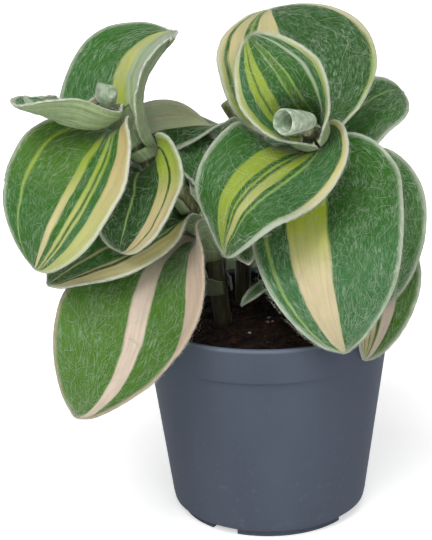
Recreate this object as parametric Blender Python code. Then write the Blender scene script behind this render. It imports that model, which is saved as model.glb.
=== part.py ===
"""Potted variegated tradescantia: three leafy stems rooted in a small grey nursery pot.

Frame: +Z up, origin on the pot's axis at the level it stands on, -Y is the front.
Sizes below are millimetres; they are turned into metres where a mesh is made.
"""

import math
from typing import NamedTuple

import bmesh
import bpy
from mathutils import Matrix, Quaternion, Vector

MM = 0.001
GAP = 0.3  # air left between pieces that touch

# Pot: moulded nursery pot with a stepped band under the lip and a foot ring.
RIM_RADIUS = 30.0
POT_HEIGHT = 49.0
BAND_HEIGHT = 8.3
BAND_STEP = 0.9
LOW_RADIUS = 23.1  # outside radius just above the foot
LOW_LEVEL = 3.2
WALL = 1.0
LIP = 1.7
FOOT_RADIUS = 20.9
FOOT_HEIGHT = 2.0
FOOT_WALL = 1.6
BOSS_RADIUS = 5.0
POT_SIDES = 40
NOTCH_WIDTH = 6.5
NOTCH_AZIMUTHS = (58.0, 148.0, 238.0, 328.0)
DRAIN_RADIUS = 2.5
DRAIN_CIRCLE = 13.0
DRAIN_COUNT = 6

# Soil: fills the pot to a few millimetres under the lip, slightly domed.
SOIL_EDGE = 45.0
SOIL_CROWN = 47.0

# Leaves: a short sheath round the stem, then a blade.
SHEATH_LENGTH = 3.5
SHEATH_ROOM = 1.2  # sheath's middle surface outside the stem's surface
MIDRIB_THICKNESS = 1.0
MARGIN_THICKNESS = 0.5
BLADE_ROWS = 9
LEAF_COLUMNS = 8
MIDRIB_STEPS = 72

STEM_SIDES = 8


class Stem(NamedTuple):
    name: str
    route: tuple  # points on the axis, from inside the soil to the growing tip
    low_radius: float
    top_radius: float


class Leaf(NamedTuple):
    name: str
    stem: str
    at: float  # distance along the stem to the foot of the sheath
    mid: tuple  # where the midrib is halfway along the blade
    tip: tuple
    face: tuple  # direction that the upper side looks at mid length
    width: float
    cup: float = 50.0  # angle of the arc that the blade's cross-section follows
    rise: float = 0.7  # how strongly the blade still follows the stem before it turns away
    widest: float = 0.45
    roll: float = 0.0  # twist of the outer half about the midrib
    bell: float = 0.0  # radius of the sheath's mouth, where it flares more than usual
    clasp: float = 190.0  # degrees of the stem that the foot of the blade still goes round
    leave: tuple = ()  # direction in which the blade leaves the stem, where it isn't straight to mid
    point: float = 2.2  # how full the outline stays towards the tip
    blunt: float = 0.1  # width of the tip as a share of the full width
    opens: float = 0.22  # part of the blade over which its foot opens out from the stem
    wrap: float = 310.0  # degrees of the stem that the sheath goes round


class Bud(NamedTuple):
    name: str
    foot: tuple
    tip: tuple
    profile: tuple  # (radius, share of the length) from the foot round to the axis again


STEMS = (
    Stem(
        "stem_left",
        (
            (-9, -3, 38),
            (-11, -5, 54),
            (-13, -5, 68),
            (-19, -6, 79),
            (-26, -7, 86),
            (-30, -8, 92),
            (-32.5, -9, 99),
        ),
        2.1,
        1.6,
    ),
    Stem(
        "stem_middle",
        ((-5, 7, 38), (-5, 9, 58), (-3, 9, 76), (-4, 8, 88), (-8, 7, 96)),
        2.0,
        1.6,
    ),
    Stem(
        "stem_right",
        (
            (8, 3, 38),
            (10, 5, 50),
            (12, 6, 62),
            (13, 5, 73),
            (13, 0, 83),
            (12, -7, 89),
            (10, -16, 93),
            (8, -26, 97),
        ),
        2.2,
        1.6,
    ),
)

LEAVES = (
    Leaf(
        "leaf_left_1", "stem_left", 17,
        (-30, 10, 62), (-42, 14, 48), (-0.3, 0.6, 0.8), 22,
    ),
    Leaf(
        "leaf_left_2", "stem_left", 25,
        (-34.5, -28, 49), (-43, -30.5, 35), (-0.6, -0.7, -0.4), 33.5,
        cup=65, rise=0.55, widest=0.55, roll=-5, clasp=185, point=1.8, leave=(-0.5, -0.9, -0.05),
    ),
    Leaf(
        "leaf_left_3", "stem_left", 32.5,
        (-32.5, -14.5, 70.5), (-48.5, -20, 62), (-0.3, -0.65, 0.7), 21,
        cup=20, rise=0.95, widest=0.5, roll=15, bell=4.4, clasp=180, point=3,
        leave=(-0.8, -0.15, 0.6),
    ),
    Leaf(
        "leaf_left_4", "stem_left", 38.5,
        (-30, 22, 79.5), (-44.5, 25.5, 68), (-0.5, 0.85, 0), 20,
        cup=55, rise=0.3, widest=0.55, roll=-15, clasp=165, point=2.4, leave=(-0.3, 0.95, 0.1),
    ),
    Leaf(
        "leaf_left_5", "stem_left", 47,
        (-29, -25.5, 80.5), (-32, -24, 70.5), (0, -0.1, 1), 23,
        cup=65, rise=1.1, widest=0.3, roll=-5, bell=3.3, clasp=215, point=2.4, opens=0.6,
        leave=(-0.6, -0.75, 0.2),
    ),
    Leaf(
        "leaf_left_6", "stem_left", 58.5,
        (-46, -26, 80.5), (-50.5, -23.5, 67), (-0.1, -0.4, 0.9), 30,
        cup=20, rise=0.85, widest=0.35, roll=0, bell=3.5, clasp=110, point=2.7, opens=0.55,
        leave=(-0.75, -0.6, 0.3),
    ),
    Leaf(
        "leaf_left_7", "stem_left", 52.5,
        (-28.5, 4, 105.5), (-20, 10.5, 112), (-0.5, 0.05, 0.9), 40,
        cup=62, rise=1.5, widest=0.55, roll=5, bell=4.2, clasp=140, point=2.8, opens=0.45,
        leave=(0.9, 0.4, -0.05),
    ),
    Leaf(
        "leaf_left_8", "stem_left", 64,
        (-35.5, -16, 96.5), (-51.5, -14.5, 103), (-0.75, 0.15, 0.65), 17.5,
        cup=45, rise=0.9, widest=0.65, roll=-55, clasp=170, point=2.6, opens=1,
        leave=(-0.65, -0.75, 0),
    ),
    Leaf(
        "leaf_middle_1", "stem_middle", 20,
        (-3.5, 23, 59), (-7, 33, 37.5), (0.1, 0.85, 0.5), 29,
        cup=45, rise=1.1, widest=0.65, roll=-5, bell=3.6, point=2.7, leave=(0.4, 0.9, -0.05),
    ),
    Leaf(
        "leaf_middle_2", "stem_middle", 28,
        (-4.5, -12, 72.5), (-4.5, -27.5, 68), (-0.3, -0.45, 0.85), 14,
        cup=35, rise=1.6, widest=0.5, bell=3.5, clasp=215, point=2.3, leave=(-0.1, -1, -0.05),
    ),
    Leaf(
        "leaf_middle_3", "stem_middle", 34.5,
        (14, 27, 84), (22, 38, 70), (0.4, 0.7, 0.6), 26,
    ),
    Leaf(
        "leaf_middle_4", "stem_middle", 42.5,
        (-8.5, 5, 86.5), (-10.5, -3.5, 78), (-0.05, -0.65, 0.75), 22,
        cup=30, rise=0.95, widest=0.25, roll=-45, bell=3.6, clasp=160, point=2.2, opens=0.45,
        leave=(-0.8, -0.55, -0.3),
    ),
    Leaf(
        "leaf_middle_5", "stem_middle", 49.5,
        (-18.5, 4.5, 91.5), (-38.5, 9, 81.5), (0.1, -0.8, 0.6), 14,
        cup=20, rise=0.25, widest=0.55, roll=20, clasp=160, point=1.6, opens=0.1,
        leave=(-0.8, -0.6, -0.15),
    ),
    Leaf(
        "leaf_right_1", "stem_right", 9,
        (2.5, -7, 57), (-6, -10, 52.5), (-0.55, -0.35, 0.8), 8,
        cup=65, rise=0.45, widest=0.35, roll=-5, bell=4.6, clasp=155, point=2,
        leave=(0, -0.8, 0.6),
    ),
    Leaf(
        "leaf_right_2", "stem_right", 16.5,
        (25.5, 23, 63.5), (34, 37, 50.5), (0.25, 0.6, 0.75), 27,
        rise=0.65, widest=0.45, bell=4, point=2.1, leave=(0.5, 0.8, 0.35),
    ),
    Leaf(
        "leaf_right_3", "stem_right", 22.5,
        (22.5, -9, 62), (20.5, -24, 44), (0.2, -0.95, -0.15), 22.5,
        cup=75, rise=0.75, widest=0.4, roll=-10, bell=4, clasp=205, point=1.8,
        leave=(0.65, -0.75, 0.05),
    ),
    Leaf(
        "leaf_right_4", "stem_right", 28,
        (24, -14, 78), (26.5, -19, 56), (0.05, -0.6, 0.8), 23,
        cup=25, rise=1.4, widest=0.35, roll=-15, bell=4.3, clasp=170, point=1.9,
        leave=(1, -0.1, -0.1),
    ),
    Leaf(
        "leaf_right_5", "stem_right", 36.5,
        (28, 6.5, 95.5), (33, 12.5, 96), (-0.05, -0.8, 0.6), 15.5,
        cup=50, rise=1.2, widest=0.45, roll=10, clasp=180, point=3, leave=(0.45, 0.85, 0.3),
    ),
    Leaf(
        "leaf_right_6", "stem_right", 44.5,
        (13, -34, 66), (15.5, -36, 50.5), (-0.2, -0.8, 0.6), 33.5,
        cup=20, rise=0.5, widest=0.3, roll=-15, clasp=205, point=3, leave=(0.25, -0.85, -0.5),
    ),
    Leaf(
        "leaf_right_7", "stem_right", 51,
        (6.5, -2, 108), (2.5, 10, 116.5), (0.2, -0.9, 0.35), 36.5,
        cup=40, rise=0.2, widest=0.45, roll=-5, bell=3.3, clasp=165, point=2.2,
        leave=(-0.3, 0.05, 0.95),
    ),
    Leaf(
        "leaf_right_8", "stem_right", 59,
        (-8, -36.5, 82), (-9.5, -33, 72), (0.25, -0.7, 0.65), 25,
        cup=25, rise=0.75, widest=0.35, roll=40, clasp=185, point=2.6, leave=(0.45, -0.05, -0.9),
    ),
    Leaf(
        "leaf_right_9", "stem_right", 68.5,
        (2, -27.5, 107.5), (-3.5, -21, 115.5), (0.25, -0.95, -0.2), 20,
        cup=60, rise=0.2, widest=0.5, roll=-15, bell=4.7, clasp=325, point=1.4, opens=0.5, wrap=330,
        leave=(-0.55, -0.15, 0.85),
    ),
)

BUDS = (
    Bud(
        "bud_left",
        (-33, -10.1, 99.9),
        (-35.8, -12.7, 105),
        ((0, 0), (0.9, 0), (2.5, 0.45), (1.9, 0.7), (0.7, 0.93), (0, 1)),
    ),
    Bud(
        "bud_right",
        (9.2, -26.6, 98.6),
        (3.1, -33.3, 100),
        ((0, 0), (1.4, 0), (2.2, 0.35), (2.7, 0.85), (2.7, 1), (2.3, 1), (2, 0.8), (1.4, 0.45), (0, 0.4)),
    ),
)


def smooth_step(x):
    """Ease from 0 to 1 as x goes from 0 to 1."""
    x = min(max(x, 0.0), 1.0)
    return x * x * (3.0 - 2.0 * x)


def curve_through(points, steps):
    """Points on a smooth curve through the given ones, with steps to each span."""
    pts = [Vector(p) for p in points]
    pts = [2 * pts[0] - pts[1]] + pts + [2 * pts[-1] - pts[-2]]
    out = []
    for a, b, c, d in zip(pts, pts[1:], pts[2:], pts[3:]):
        for k in range(steps):
            t = k / steps
            out.append(
                0.5
                * (
                    2 * b
                    + (c - a) * t
                    + (2 * a - 5 * b + 4 * c - d) * t * t
                    + (3 * b - a - 3 * c + d) * t ** 3
                )
            )
    out.append(pts[-2])
    return out


class Path:
    """A polyline that is asked for its point and direction at a distance along it."""

    def __init__(self, points):
        self.points = points
        self.marks = [0.0]
        for a, b in zip(points, points[1:]):
            self.marks.append(self.marks[-1] + (b - a).length)
        self.length = self.marks[-1]

    def at(self, distance):
        """Point and unit direction at the given distance."""
        last = len(self.points) - 2
        k = 0
        while k < last and self.marks[k + 1] < distance:
            k += 1
        span = self.points[k + 1] - self.points[k]
        share = (distance - self.marks[k]) / span.length
        return self.points[k] + span * share, span.normalized()


def stem_path(stem):
    return Path(curve_through(stem.route, 8))


def stem_radius(stem, share):
    return stem.low_radius + (stem.top_radius - stem.low_radius) * share


def hermite(a, b, slope_a, slope_b, steps):
    """Points on a cubic from a towards b, leaving b itself out."""
    out = []
    for k in range(steps):
        t = k / steps
        s = 1 - t
        out.append(
            a * (1 + 2 * t) * s * s + b * (3 - 2 * t) * t * t + slope_a * t * s * s - slope_b * t * t * s
        )
    return out


class Midrib:
    """The leaf's centre line and, all along it, which way its upper side looks."""

    def __init__(self, leaf, stems):
        stem = stems[leaf.stem]
        path = stem_path(stem)
        foot, along = path.at(leaf.at)
        away = Vector(leaf.leave) if leaf.leave else Vector(leaf.mid) - foot
        away = (away - along * away.dot(along)).normalized()
        self.sheath_radius = stem_radius(stem, leaf.at / path.length) + SHEATH_ROOM
        self.mouth = max(leaf.bell, self.sheath_radius)
        foot = foot + away * self.sheath_radius
        top, along = path.at(leaf.at + SHEATH_LENGTH)
        top = top + (away - along * away.dot(along)).normalized() * self.mouth
        mid = Vector(leaf.mid)
        tip = Vector(leaf.tip)
        inner = mid - top
        outer = tip - mid
        over = (inner.normalized() * outer.length + outer.normalized() * inner.length).normalized()
        end = 2 * over.project(outer) - over
        half = MIDRIB_STEPS // 2
        blade = hermite(top, mid, along * inner.length * leaf.rise, over * inner.length, half)
        blade += hermite(mid, tip, over * outer.length, end * outer.length, half) + [tip]
        self.path = Path([foot] + blade)
        self.sheath_length = self.path.marks[1]
        self.blade_length = self.path.length - self.sheath_length
        self.normals = self.carry(-away, Vector(leaf.face), leaf.roll)

    def carry(self, start, face, roll):
        """Carry the first normal along without twist, then turn it to meet the wanted face."""
        marks = self.path.marks
        tangents = [self.path.at(0.5 * (a + b))[1] for a, b in zip(marks, marks[1:])]
        tangents.append(tangents[-1])
        normals = [start]
        for tangent in tangents[1:]:
            n = normals[-1]
            normals.append((n - tangent * n.dot(tangent)).normalized())
        middle = min(range(len(marks)), key=lambda k: abs(self.share(marks[k]) - 0.5))
        axis = tangents[middle]
        wanted = (face - axis * face.dot(axis)).normalized()
        turn = math.atan2(normals[middle].cross(wanted).dot(axis), normals[middle].dot(wanted))
        for k, mark in enumerate(marks):
            share = self.share(mark)
            angle = turn * smooth_step(share * 2) + math.radians(roll) * smooth_step(share * 2 - 1)
            normals[k] = Quaternion(tangents[k], angle) @ normals[k]
        return normals

    def share(self, mark):
        """Where a distance along the midrib lies on the blade, from 0 at the sheath to 1."""
        return (mark - self.sheath_length) / self.blade_length

    def frame(self, distance):
        """Point, direction, upper normal and sideways direction at a distance."""
        point, along = self.path.at(distance)
        marks = self.path.marks
        k = 0
        while k < len(marks) - 2 and marks[k + 1] < distance:
            k += 1
        part = (distance - marks[k]) / (marks[k + 1] - marks[k])
        n = self.normals[k].lerp(self.normals[k + 1], part)
        n = (n - along * n.dot(along)).normalized()
        return point, along, n, along.cross(n)


def half_width(leaf, share, sheath):
    """Half the flat width: the sheath's mouth, then an oval blade with a short point."""
    full = leaf.width / 2
    if share < leaf.widest:
        x = (leaf.widest - share) / leaf.widest
        return sheath + (full - sheath) * (1 - x ** 2.2)
    x = (share - leaf.widest) / (1 - leaf.widest)
    return full * (leaf.blunt + (1 - leaf.blunt) * (1 - x ** leaf.point))


def leaf_point(leaf, rib, distance, side, face):
    """A point of the leaf: side runs -1 to 1 between the margins, face is 1 above, -1 below."""
    point, along, normal, across = rib.frame(distance)
    share = rib.share(distance)
    if share <= 0:
        arc = math.radians(leaf.wrap)
        flare = (rib.mouth - rib.sheath_radius) * distance / rib.sheath_length
        half = (rib.sheath_radius + flare) * arc / 2
    else:
        clasp = math.radians(leaf.clasp)
        opened = smooth_step(share / leaf.opens)
        arc = clasp + (math.radians(leaf.cup) - clasp) * opened
        half = half_width(leaf, share, rib.mouth * clasp / 2)
    radius = 2 * half / arc
    angle = side * arc / 2
    x = radius * math.sin(angle)
    z = radius * (1 - math.cos(angle))
    skin = MARGIN_THICKNESS + (MIDRIB_THICKNESS - MARGIN_THICKNESS) * (1 - side * side)
    outward = normal * math.cos(angle) - across * math.sin(angle)
    return point + across * x + normal * z + outward * (face * skin / 2)


def material(name, colour, roughness):
    """Principled material with one base colour and roughness."""
    mat = bpy.data.materials.new(name)
    mat.use_nodes = True
    shader = mat.node_tree.nodes["Principled BSDF"]
    shader.inputs["Base Color"].default_value = (*colour, 1.0)
    shader.inputs["Roughness"].default_value = roughness
    shader.inputs["Metallic"].default_value = 0.0
    return mat


def add_object(name, bm, mat, sharp=40.0):
    """Turn a bmesh in millimetres into a named object in metres."""
    bmesh.ops.scale(bm, vec=(MM, MM, MM), verts=bm.verts)
    mesh = bpy.data.meshes.new(name)
    bm.to_mesh(mesh)
    bm.free()
    mesh.materials.append(mat)
    mesh.shade_smooth()
    mesh.set_sharp_from_angle(angle=math.radians(sharp))
    obj = bpy.data.objects.new(name, mesh)
    bpy.context.scene.collection.objects.link(obj)
    return obj


def turned(profile, sides):
    """Closed body of revolution from (radius, height) points that start and end on the axis."""
    bm = bmesh.new()
    verts = [bm.verts.new((r, 0, z)) for r, z in profile]
    edges = [bm.edges.new(pair) for pair in zip(verts, verts[1:])]
    bmesh.ops.spin(
        bm,
        geom=verts + edges,
        axis=(0, 0, 1),
        cent=(0, 0, 0),
        angle=2 * math.pi,
        steps=sides,
        use_merge=True,
    )
    bmesh.ops.remove_doubles(bm, verts=bm.verts, dist=1e-4)
    bmesh.ops.recalc_face_normals(bm, faces=bm.faces)
    return bm


def closed_loft(rows, columns, place):
    """Closed tube whose ring points come from place(row, column), with both ends capped."""
    bm = bmesh.new()
    rings = [[bm.verts.new(place(i, j)) for j in range(columns)] for i in range(rows)]
    for low, high in zip(rings, rings[1:]):
        for j in range(columns):
            k = (j + 1) % columns
            bm.faces.new((low[j], low[k], high[k], high[j]))
    for ring in (rings[0], rings[-1]):
        bm.faces.new(ring)
    bmesh.ops.recalc_face_normals(bm, faces=bm.faces)
    return bm


def make_pot(mat):
    band_low = POT_HEIGHT - BAND_HEIGHT
    slope = (RIM_RADIUS - BAND_STEP - LOW_RADIUS) / (POT_HEIGHT - LOW_LEVEL)
    wall_top = LOW_RADIUS + slope * (band_low - LOW_LEVEL)
    inner_low = LOW_RADIUS - WALL
    floor = FOOT_HEIGHT + WALL
    profile = (
        (0, 0),
        (BOSS_RADIUS, 0),
        (BOSS_RADIUS, FOOT_HEIGHT),
        (FOOT_RADIUS - FOOT_WALL, FOOT_HEIGHT),
        (FOOT_RADIUS - FOOT_WALL, 0),
        (FOOT_RADIUS, 0),
        (FOOT_RADIUS, FOOT_HEIGHT - 0.4),
        (FOOT_RADIUS + 1.4, FOOT_HEIGHT),
        (LOW_RADIUS, LOW_LEVEL),
        (wall_top, band_low - 0.3),
        (wall_top + BAND_STEP, band_low + 0.3),
        (RIM_RADIUS, POT_HEIGHT - 0.6),
        (RIM_RADIUS - 0.5, POT_HEIGHT),
        (RIM_RADIUS - LIP + 0.3, POT_HEIGHT),
        (RIM_RADIUS - LIP, POT_HEIGHT - 0.5),
        (wall_top - WALL + 0.2, band_low),
        (inner_low, floor + 1.2),
        (inner_low - 1.2, floor),
        (0, floor),
    )
    pot = add_object("pot", turned(profile, POT_SIDES), mat)
    for azimuth in NOTCH_AZIMUTHS:
        cut_box(pot, azimuth)
    for k in range(DRAIN_COUNT):
        cut_drain(pot, 360 * k / DRAIN_COUNT)
    return pot


def subtract(target, bm, name):
    """Cut a closed bmesh out of an object and apply the cut."""
    cutter = add_object(name, bm, target.data.materials[0])
    cutter.hide_render = True
    cutter.display_type = "WIRE"
    cut = target.modifiers.new(name, "BOOLEAN")
    cut.operation = "DIFFERENCE"
    cut.solver = "EXACT"
    cut.object = cutter


def cut_box(pot, azimuth):
    """Notch through the foot ring that lets water run out."""
    bm = bmesh.new()
    bmesh.ops.create_cube(bm, size=1)
    bmesh.ops.scale(bm, vec=(2 * FOOT_WALL + 2, NOTCH_WIDTH, 2 * (FOOT_HEIGHT - 0.6)), verts=bm.verts)
    bmesh.ops.translate(bm, vec=(FOOT_RADIUS, 0, 0), verts=bm.verts)
    turn = Matrix.Rotation(math.radians(azimuth), 3, "Z")
    bmesh.ops.rotate(bm, cent=(0, 0, 0), matrix=turn, verts=bm.verts)
    subtract(pot, bm, f"cut_foot_{azimuth:.0f}")


def cut_drain(pot, azimuth):
    """Drain hole through the floor."""
    bm = bmesh.new()
    bmesh.ops.create_cone(
        bm, cap_ends=True, segments=10, radius1=DRAIN_RADIUS, radius2=DRAIN_RADIUS, depth=6
    )
    spot = Matrix.Rotation(math.radians(azimuth), 3, "Z") @ Vector((DRAIN_CIRCLE, 0, FOOT_HEIGHT))
    bmesh.ops.translate(bm, vec=spot, verts=bm.verts)
    subtract(pot, bm, f"cut_drain_{azimuth:.0f}")


def make_soil(mat, stems):
    slope = (RIM_RADIUS - BAND_STEP - LOW_RADIUS) / (POT_HEIGHT - LOW_LEVEL)
    floor = FOOT_HEIGHT + WALL + GAP
    low = LOW_RADIUS - WALL - GAP

    def fit(height):
        return low + slope * (height - LOW_LEVEL) - 0.15

    profile = [(0, floor), (low - 1.3, floor), (fit(floor + 1.3), floor + 1.3)]
    profile += [(fit(SOIL_EDGE) - 0.1, SOIL_EDGE)]
    profile += [(18, SOIL_EDGE + 1.4), (9, SOIL_CROWN - 0.2), (0, SOIL_CROWN)]
    soil = add_object("soil", turned(profile, POT_SIDES), mat)
    for stem in stems.values():
        top = Path([Vector(stem.route[0]), Vector(stem.route[1])])
        bm = sweep(
            [top.at(-GAP)[0], top.at(top.length)[0]], [stem.low_radius + GAP + 0.15] * 2, 12
        )
        subtract(soil, bm, f"cut_{stem.name}")
    return soil


def sweep(points, radii, sides):
    """Tube with flat ends along the points."""
    path = Path(points)
    first = path.at(0)[1]
    side = first.orthogonal().normalized()
    frames = []
    for k, point in enumerate(points):
        back = points[k] - points[max(k - 1, 0)]
        ahead = points[min(k + 1, len(points) - 1)] - points[k]
        along = (back + ahead).normalized()
        side = (side - along * side.dot(along)).normalized()
        frames.append((point, side, along.cross(side)))

    def place(i, j):
        point, side, other = frames[i]
        angle = 2 * math.pi * j / sides
        return point + (side * math.cos(angle) + other * math.sin(angle)) * radii[i]

    return closed_loft(len(points), sides, place)


def make_stem(stem, mat):
    path = stem_path(stem)
    count = 14
    stations = [path.length * k / (count - 1) for k in range(count)]
    points = [path.at(s)[0] for s in stations]
    radii = [stem_radius(stem, s / path.length) for s in stations]
    return add_object(stem.name, sweep(points, radii, STEM_SIDES), mat, 60)


def make_bud(bud, mat):
    foot = Vector(bud.foot)
    axis = Vector(bud.tip) - foot
    bm = turned([(r, z * axis.length) for r, z in bud.profile], 14)
    turn = Vector((0, 0, 1)).rotation_difference(axis).to_matrix()
    bmesh.ops.rotate(bm, cent=(0, 0, 0), matrix=turn, verts=bm.verts)
    bmesh.ops.translate(bm, vec=foot, verts=bm.verts)
    return add_object(bud.name, bm, mat, 50)


def make_leaf(leaf, stems, mat):
    rib = Midrib(leaf, stems)
    shares = [0, 0.02] + [(k / BLADE_ROWS) ** 1.1 for k in range(1, BLADE_ROWS + 1)]
    stations = [0.0] + [rib.sheath_length + rib.blade_length * s for s in shares]
    sides = [2 * k / LEAF_COLUMNS - 1 for k in range(LEAF_COLUMNS + 1)]
    ring = [(s, 1) for s in sides] + [(s, -1) for s in reversed(sides)]

    def place(i, j):
        side, face = ring[j]
        return leaf_point(leaf, rib, stations[i], side, face)

    return add_object(leaf.name, closed_loft(len(stations), len(ring), place), mat, 70)


def main():
    for obj in list(bpy.data.objects):
        bpy.data.objects.remove(obj, do_unlink=True)
    stems = {stem.name: stem for stem in STEMS}
    plastic = material("pot_plastic", (0.095, 0.115, 0.150), 0.4)
    peat = material("peat", (0.020, 0.008, 0.006), 0.95)
    green = material("leaf_green", (0.10, 0.22, 0.06), 0.6)
    stem_skin = material("stem_skin", (0.35, 0.36, 0.22), 0.6)
    down = material("bud_down", (0.55, 0.58, 0.42), 0.8)
    make_pot(plastic)
    make_soil(peat, stems)
    for stem in STEMS:
        make_stem(stem, stem_skin)
    for leaf in LEAVES:
        make_leaf(leaf, stems, green)
    for bud in BUDS:
        make_bud(bud, down)


if __name__ == "__main__":
    main()
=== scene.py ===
"""Looks of the potted variegated tradescantia: pot, soil, stems, striped leaves and their down."""

import math
import random
from functools import partial
from typing import NamedTuple

import bmesh
import bpy
from bpy.props import FloatProperty, FloatVectorProperty, IntProperty, PointerProperty
from mathutils import Color, Matrix, Quaternion, Vector, noise


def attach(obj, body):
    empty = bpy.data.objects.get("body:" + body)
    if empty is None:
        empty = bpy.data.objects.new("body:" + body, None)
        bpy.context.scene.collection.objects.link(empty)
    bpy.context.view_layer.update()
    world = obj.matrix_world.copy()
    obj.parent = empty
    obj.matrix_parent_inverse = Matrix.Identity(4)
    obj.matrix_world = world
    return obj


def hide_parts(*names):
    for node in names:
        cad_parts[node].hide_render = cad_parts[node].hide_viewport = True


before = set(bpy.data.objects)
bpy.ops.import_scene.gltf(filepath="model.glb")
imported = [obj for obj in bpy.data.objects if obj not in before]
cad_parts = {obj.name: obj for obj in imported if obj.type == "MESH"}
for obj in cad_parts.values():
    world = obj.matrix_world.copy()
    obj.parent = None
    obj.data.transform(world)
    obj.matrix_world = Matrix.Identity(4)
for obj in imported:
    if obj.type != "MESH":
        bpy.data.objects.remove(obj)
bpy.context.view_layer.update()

bl_info = {
    "name": "Potted Tradescantia",
    "version": (1, 0, 0),
    "blender": (4, 5, 0),
    "location": "3D View > Sidebar > Tradescantia",
    "description": "Builds a downy striped tradescantia in its nursery pot",
    "category": "Add Mesh",
}

MM = 0.001  # sizes below are in millimetres and degrees

# Pot
RIM_RADIUS = 30.0
POT_HEIGHT = 49.0
BAND_HEIGHT = 8.3
BAND_STEP = 0.9
LOW_RADIUS = 23.1
LOW_LEVEL = 3.2
WALL = 1.0
LIP = 1.7
FOOT_RADIUS = 20.9
FOOT_HEIGHT = 2.0
FOOT_WALL = 1.6
BOSS_RADIUS = 5.0
BOSS_LEVEL = 0.5
NOTCH_WIDTH = 6.5
NOTCH_AZIMUTHS = (58.0, 148.0, 238.0, 328.0)
DRAIN_RADIUS = 2.5
DRAIN_CIRCLE = 13.0
DRAIN_COUNT = 6
DRAIN_SIDES = 32
DRAIN_CUT = 6  # length of the cutter, which goes right through the floor
SIDE_SLOPE = (RIM_RADIUS - BAND_STEP - LOW_RADIUS) / (POT_HEIGHT - LOW_LEVEL)
SHADED_EDGE = 50.0  # a sharper edge is shaded as one
ROUNDED_EDGE = 28.0  # a sharper edge gets the mould's rounding

# Soil
SOIL_EDGE = 45.0
SOIL_CROWN = 47.0
SOIL_LIFT = 0.3  # between the soil and the pot's floor
SOIL_GAP = 0.5  # between the soil and the pot's wall
SOIL_CHAMFER = 1.3
SOIL_RINGS = 36
SOIL_STEPS = 120
CRUMB_SIZES = (0.25, 1.1)
PERLITE_SIZES = (0.35, 0.75)
GRAIN_RISE = 0.25  # height of a grain's middle above the soil, as a share of its size
FIBRE_THICKNESS = 0.2
FIBRE_POINTS = 5
SOIL_SEED = 11

# Stems
ROUTE_STEPS = 8  # to each span of a stem's route
STEM_RINGS = 90
SWELLING = 0.3  # how much a stem thickens where a leaf grows
SWELLING_REACH = 0.9

# Leaves
SHEATH_LENGTH = 3.5
SHEATH_ROOM = 1.2
MIDRIB_STEPS = 54
TIP_SHARE = 0.06  # part of the blade that its round tip takes up
TIP_END = 0.04  # square of how much of the width is left at the very end
OVAL_FILL = 0.75  # area of a blade as a share of its length times its width
CHANNEL_DEPTH = 0.3  # over the midrib
CHANNEL_REACH = 0.07  # as a share of the half width
RIB_HEIGHT = 0.07
RIB_TURNS = 34  # radians of the ribs' wave from the midrib to the margin
WAVE_HEIGHT = 1.1  # of the margins
DIMPLE_HEIGHT = 0.35

# Buds
BUD_STEPS = 48

# Down
LYING_STEPS = 4
SHORT_STEPS = 3
LYING_LIFT = 0.03
WRAPPED_LIFT = 0.04
UNDER_PART = 9  # the upper side has this many times the hairs of the underside
FRINGE_DENSITY = 18  # hairs of the margin to a millimetre of the blade
FRINGE_REACH = 1.1  # how far they stand out from the edge
OVERHANG = 1.06  # how far a lying hair may reach, as a share of the half width
STEM_HAIRS = 250
BUD_HAIRS = 220
LEAF_SEED = 500
ROD_SEED = 900

# Stage, with its places in metres
CAMERA_PLACE = (-0.0115, -0.3474, 0.1703)
SENSOR_WIDTH = 36.0
CLIP_START = 0.01
CAMERA_PITCH = 17.9  # below level
CAMERA_ROLL = -1.55
LAMPS = {"key": (-0.25, -0.7, 0.95), "fill": (0.15, -0.95, 0.35), "back": (0.2, 0.95, 0.45)}
LAMP_SIZE = 0.6
LAMP_TARGET = (0, 0, 0.06)


class Stem(NamedTuple):
    """A stem, as a route for its axis and its radius at both ends."""

    name: str
    route: tuple  # points on the axis, from inside the soil to the growing tip
    low_radius: float
    top_radius: float


class Leaf(NamedTuple):
    """A leaf, from its sheath round the stem to its tip."""

    name: str
    stem: str
    at: float  # distance along the stem to the foot of the sheath
    mid: tuple  # where the midrib is halfway along the blade
    tip: tuple
    face: tuple  # direction that the upper side looks at mid length
    width: float
    cup: float = 50.0  # angle of the arc that the blade's cross-section follows
    rise: float = 0.7  # how strongly the blade still follows the stem before it turns away
    widest: float = 0.45
    roll: float = 0.0  # twist of the outer half about the midrib
    bell: float = 0.0  # radius of the sheath's mouth, where it flares more than usual
    clasp: float = 190.0  # degrees of the stem that the foot of the blade still goes round
    leave: tuple = ()  # direction in which the blade leaves the stem
    point: float = 2.2  # how full the outline stays towards the tip
    blunt: float = 0.1  # width of the tip as a share of the full width
    opens: float = 0.22  # part of the blade over which its foot opens out from the stem
    wrap: float = 310.0  # degrees of the stem that the sheath goes round


class Bud(NamedTuple):
    """A rolled young leaf at the end of a shoot, as a body turned about its axis."""

    name: str
    foot: tuple
    tip: tuple
    profile: tuple  # (radius, share of the length)


STEMS = (
    Stem(
        "left",
        (
            (-9, -3, 38), (-11, -5, 54), (-13, -5, 68), (-19, -6, 79), (-26, -7, 86),
            (-30, -8, 92), (-32.5, -9, 99),
        ),
        2.1, 1.6,
    ),
    Stem("middle", ((-5, 7, 38), (-5, 9, 58), (-3, 9, 76), (-4, 8, 88), (-8, 7, 96)), 2.0, 1.6),
    Stem(
        "right",
        (
            (8, 3, 38), (10, 5, 50), (12, 6, 62), (13, 5, 73), (13, 0, 83),
            (12, -7, 89), (10, -16, 93), (8, -26, 97),
        ),
        2.2, 1.6,
    ),
)

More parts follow.
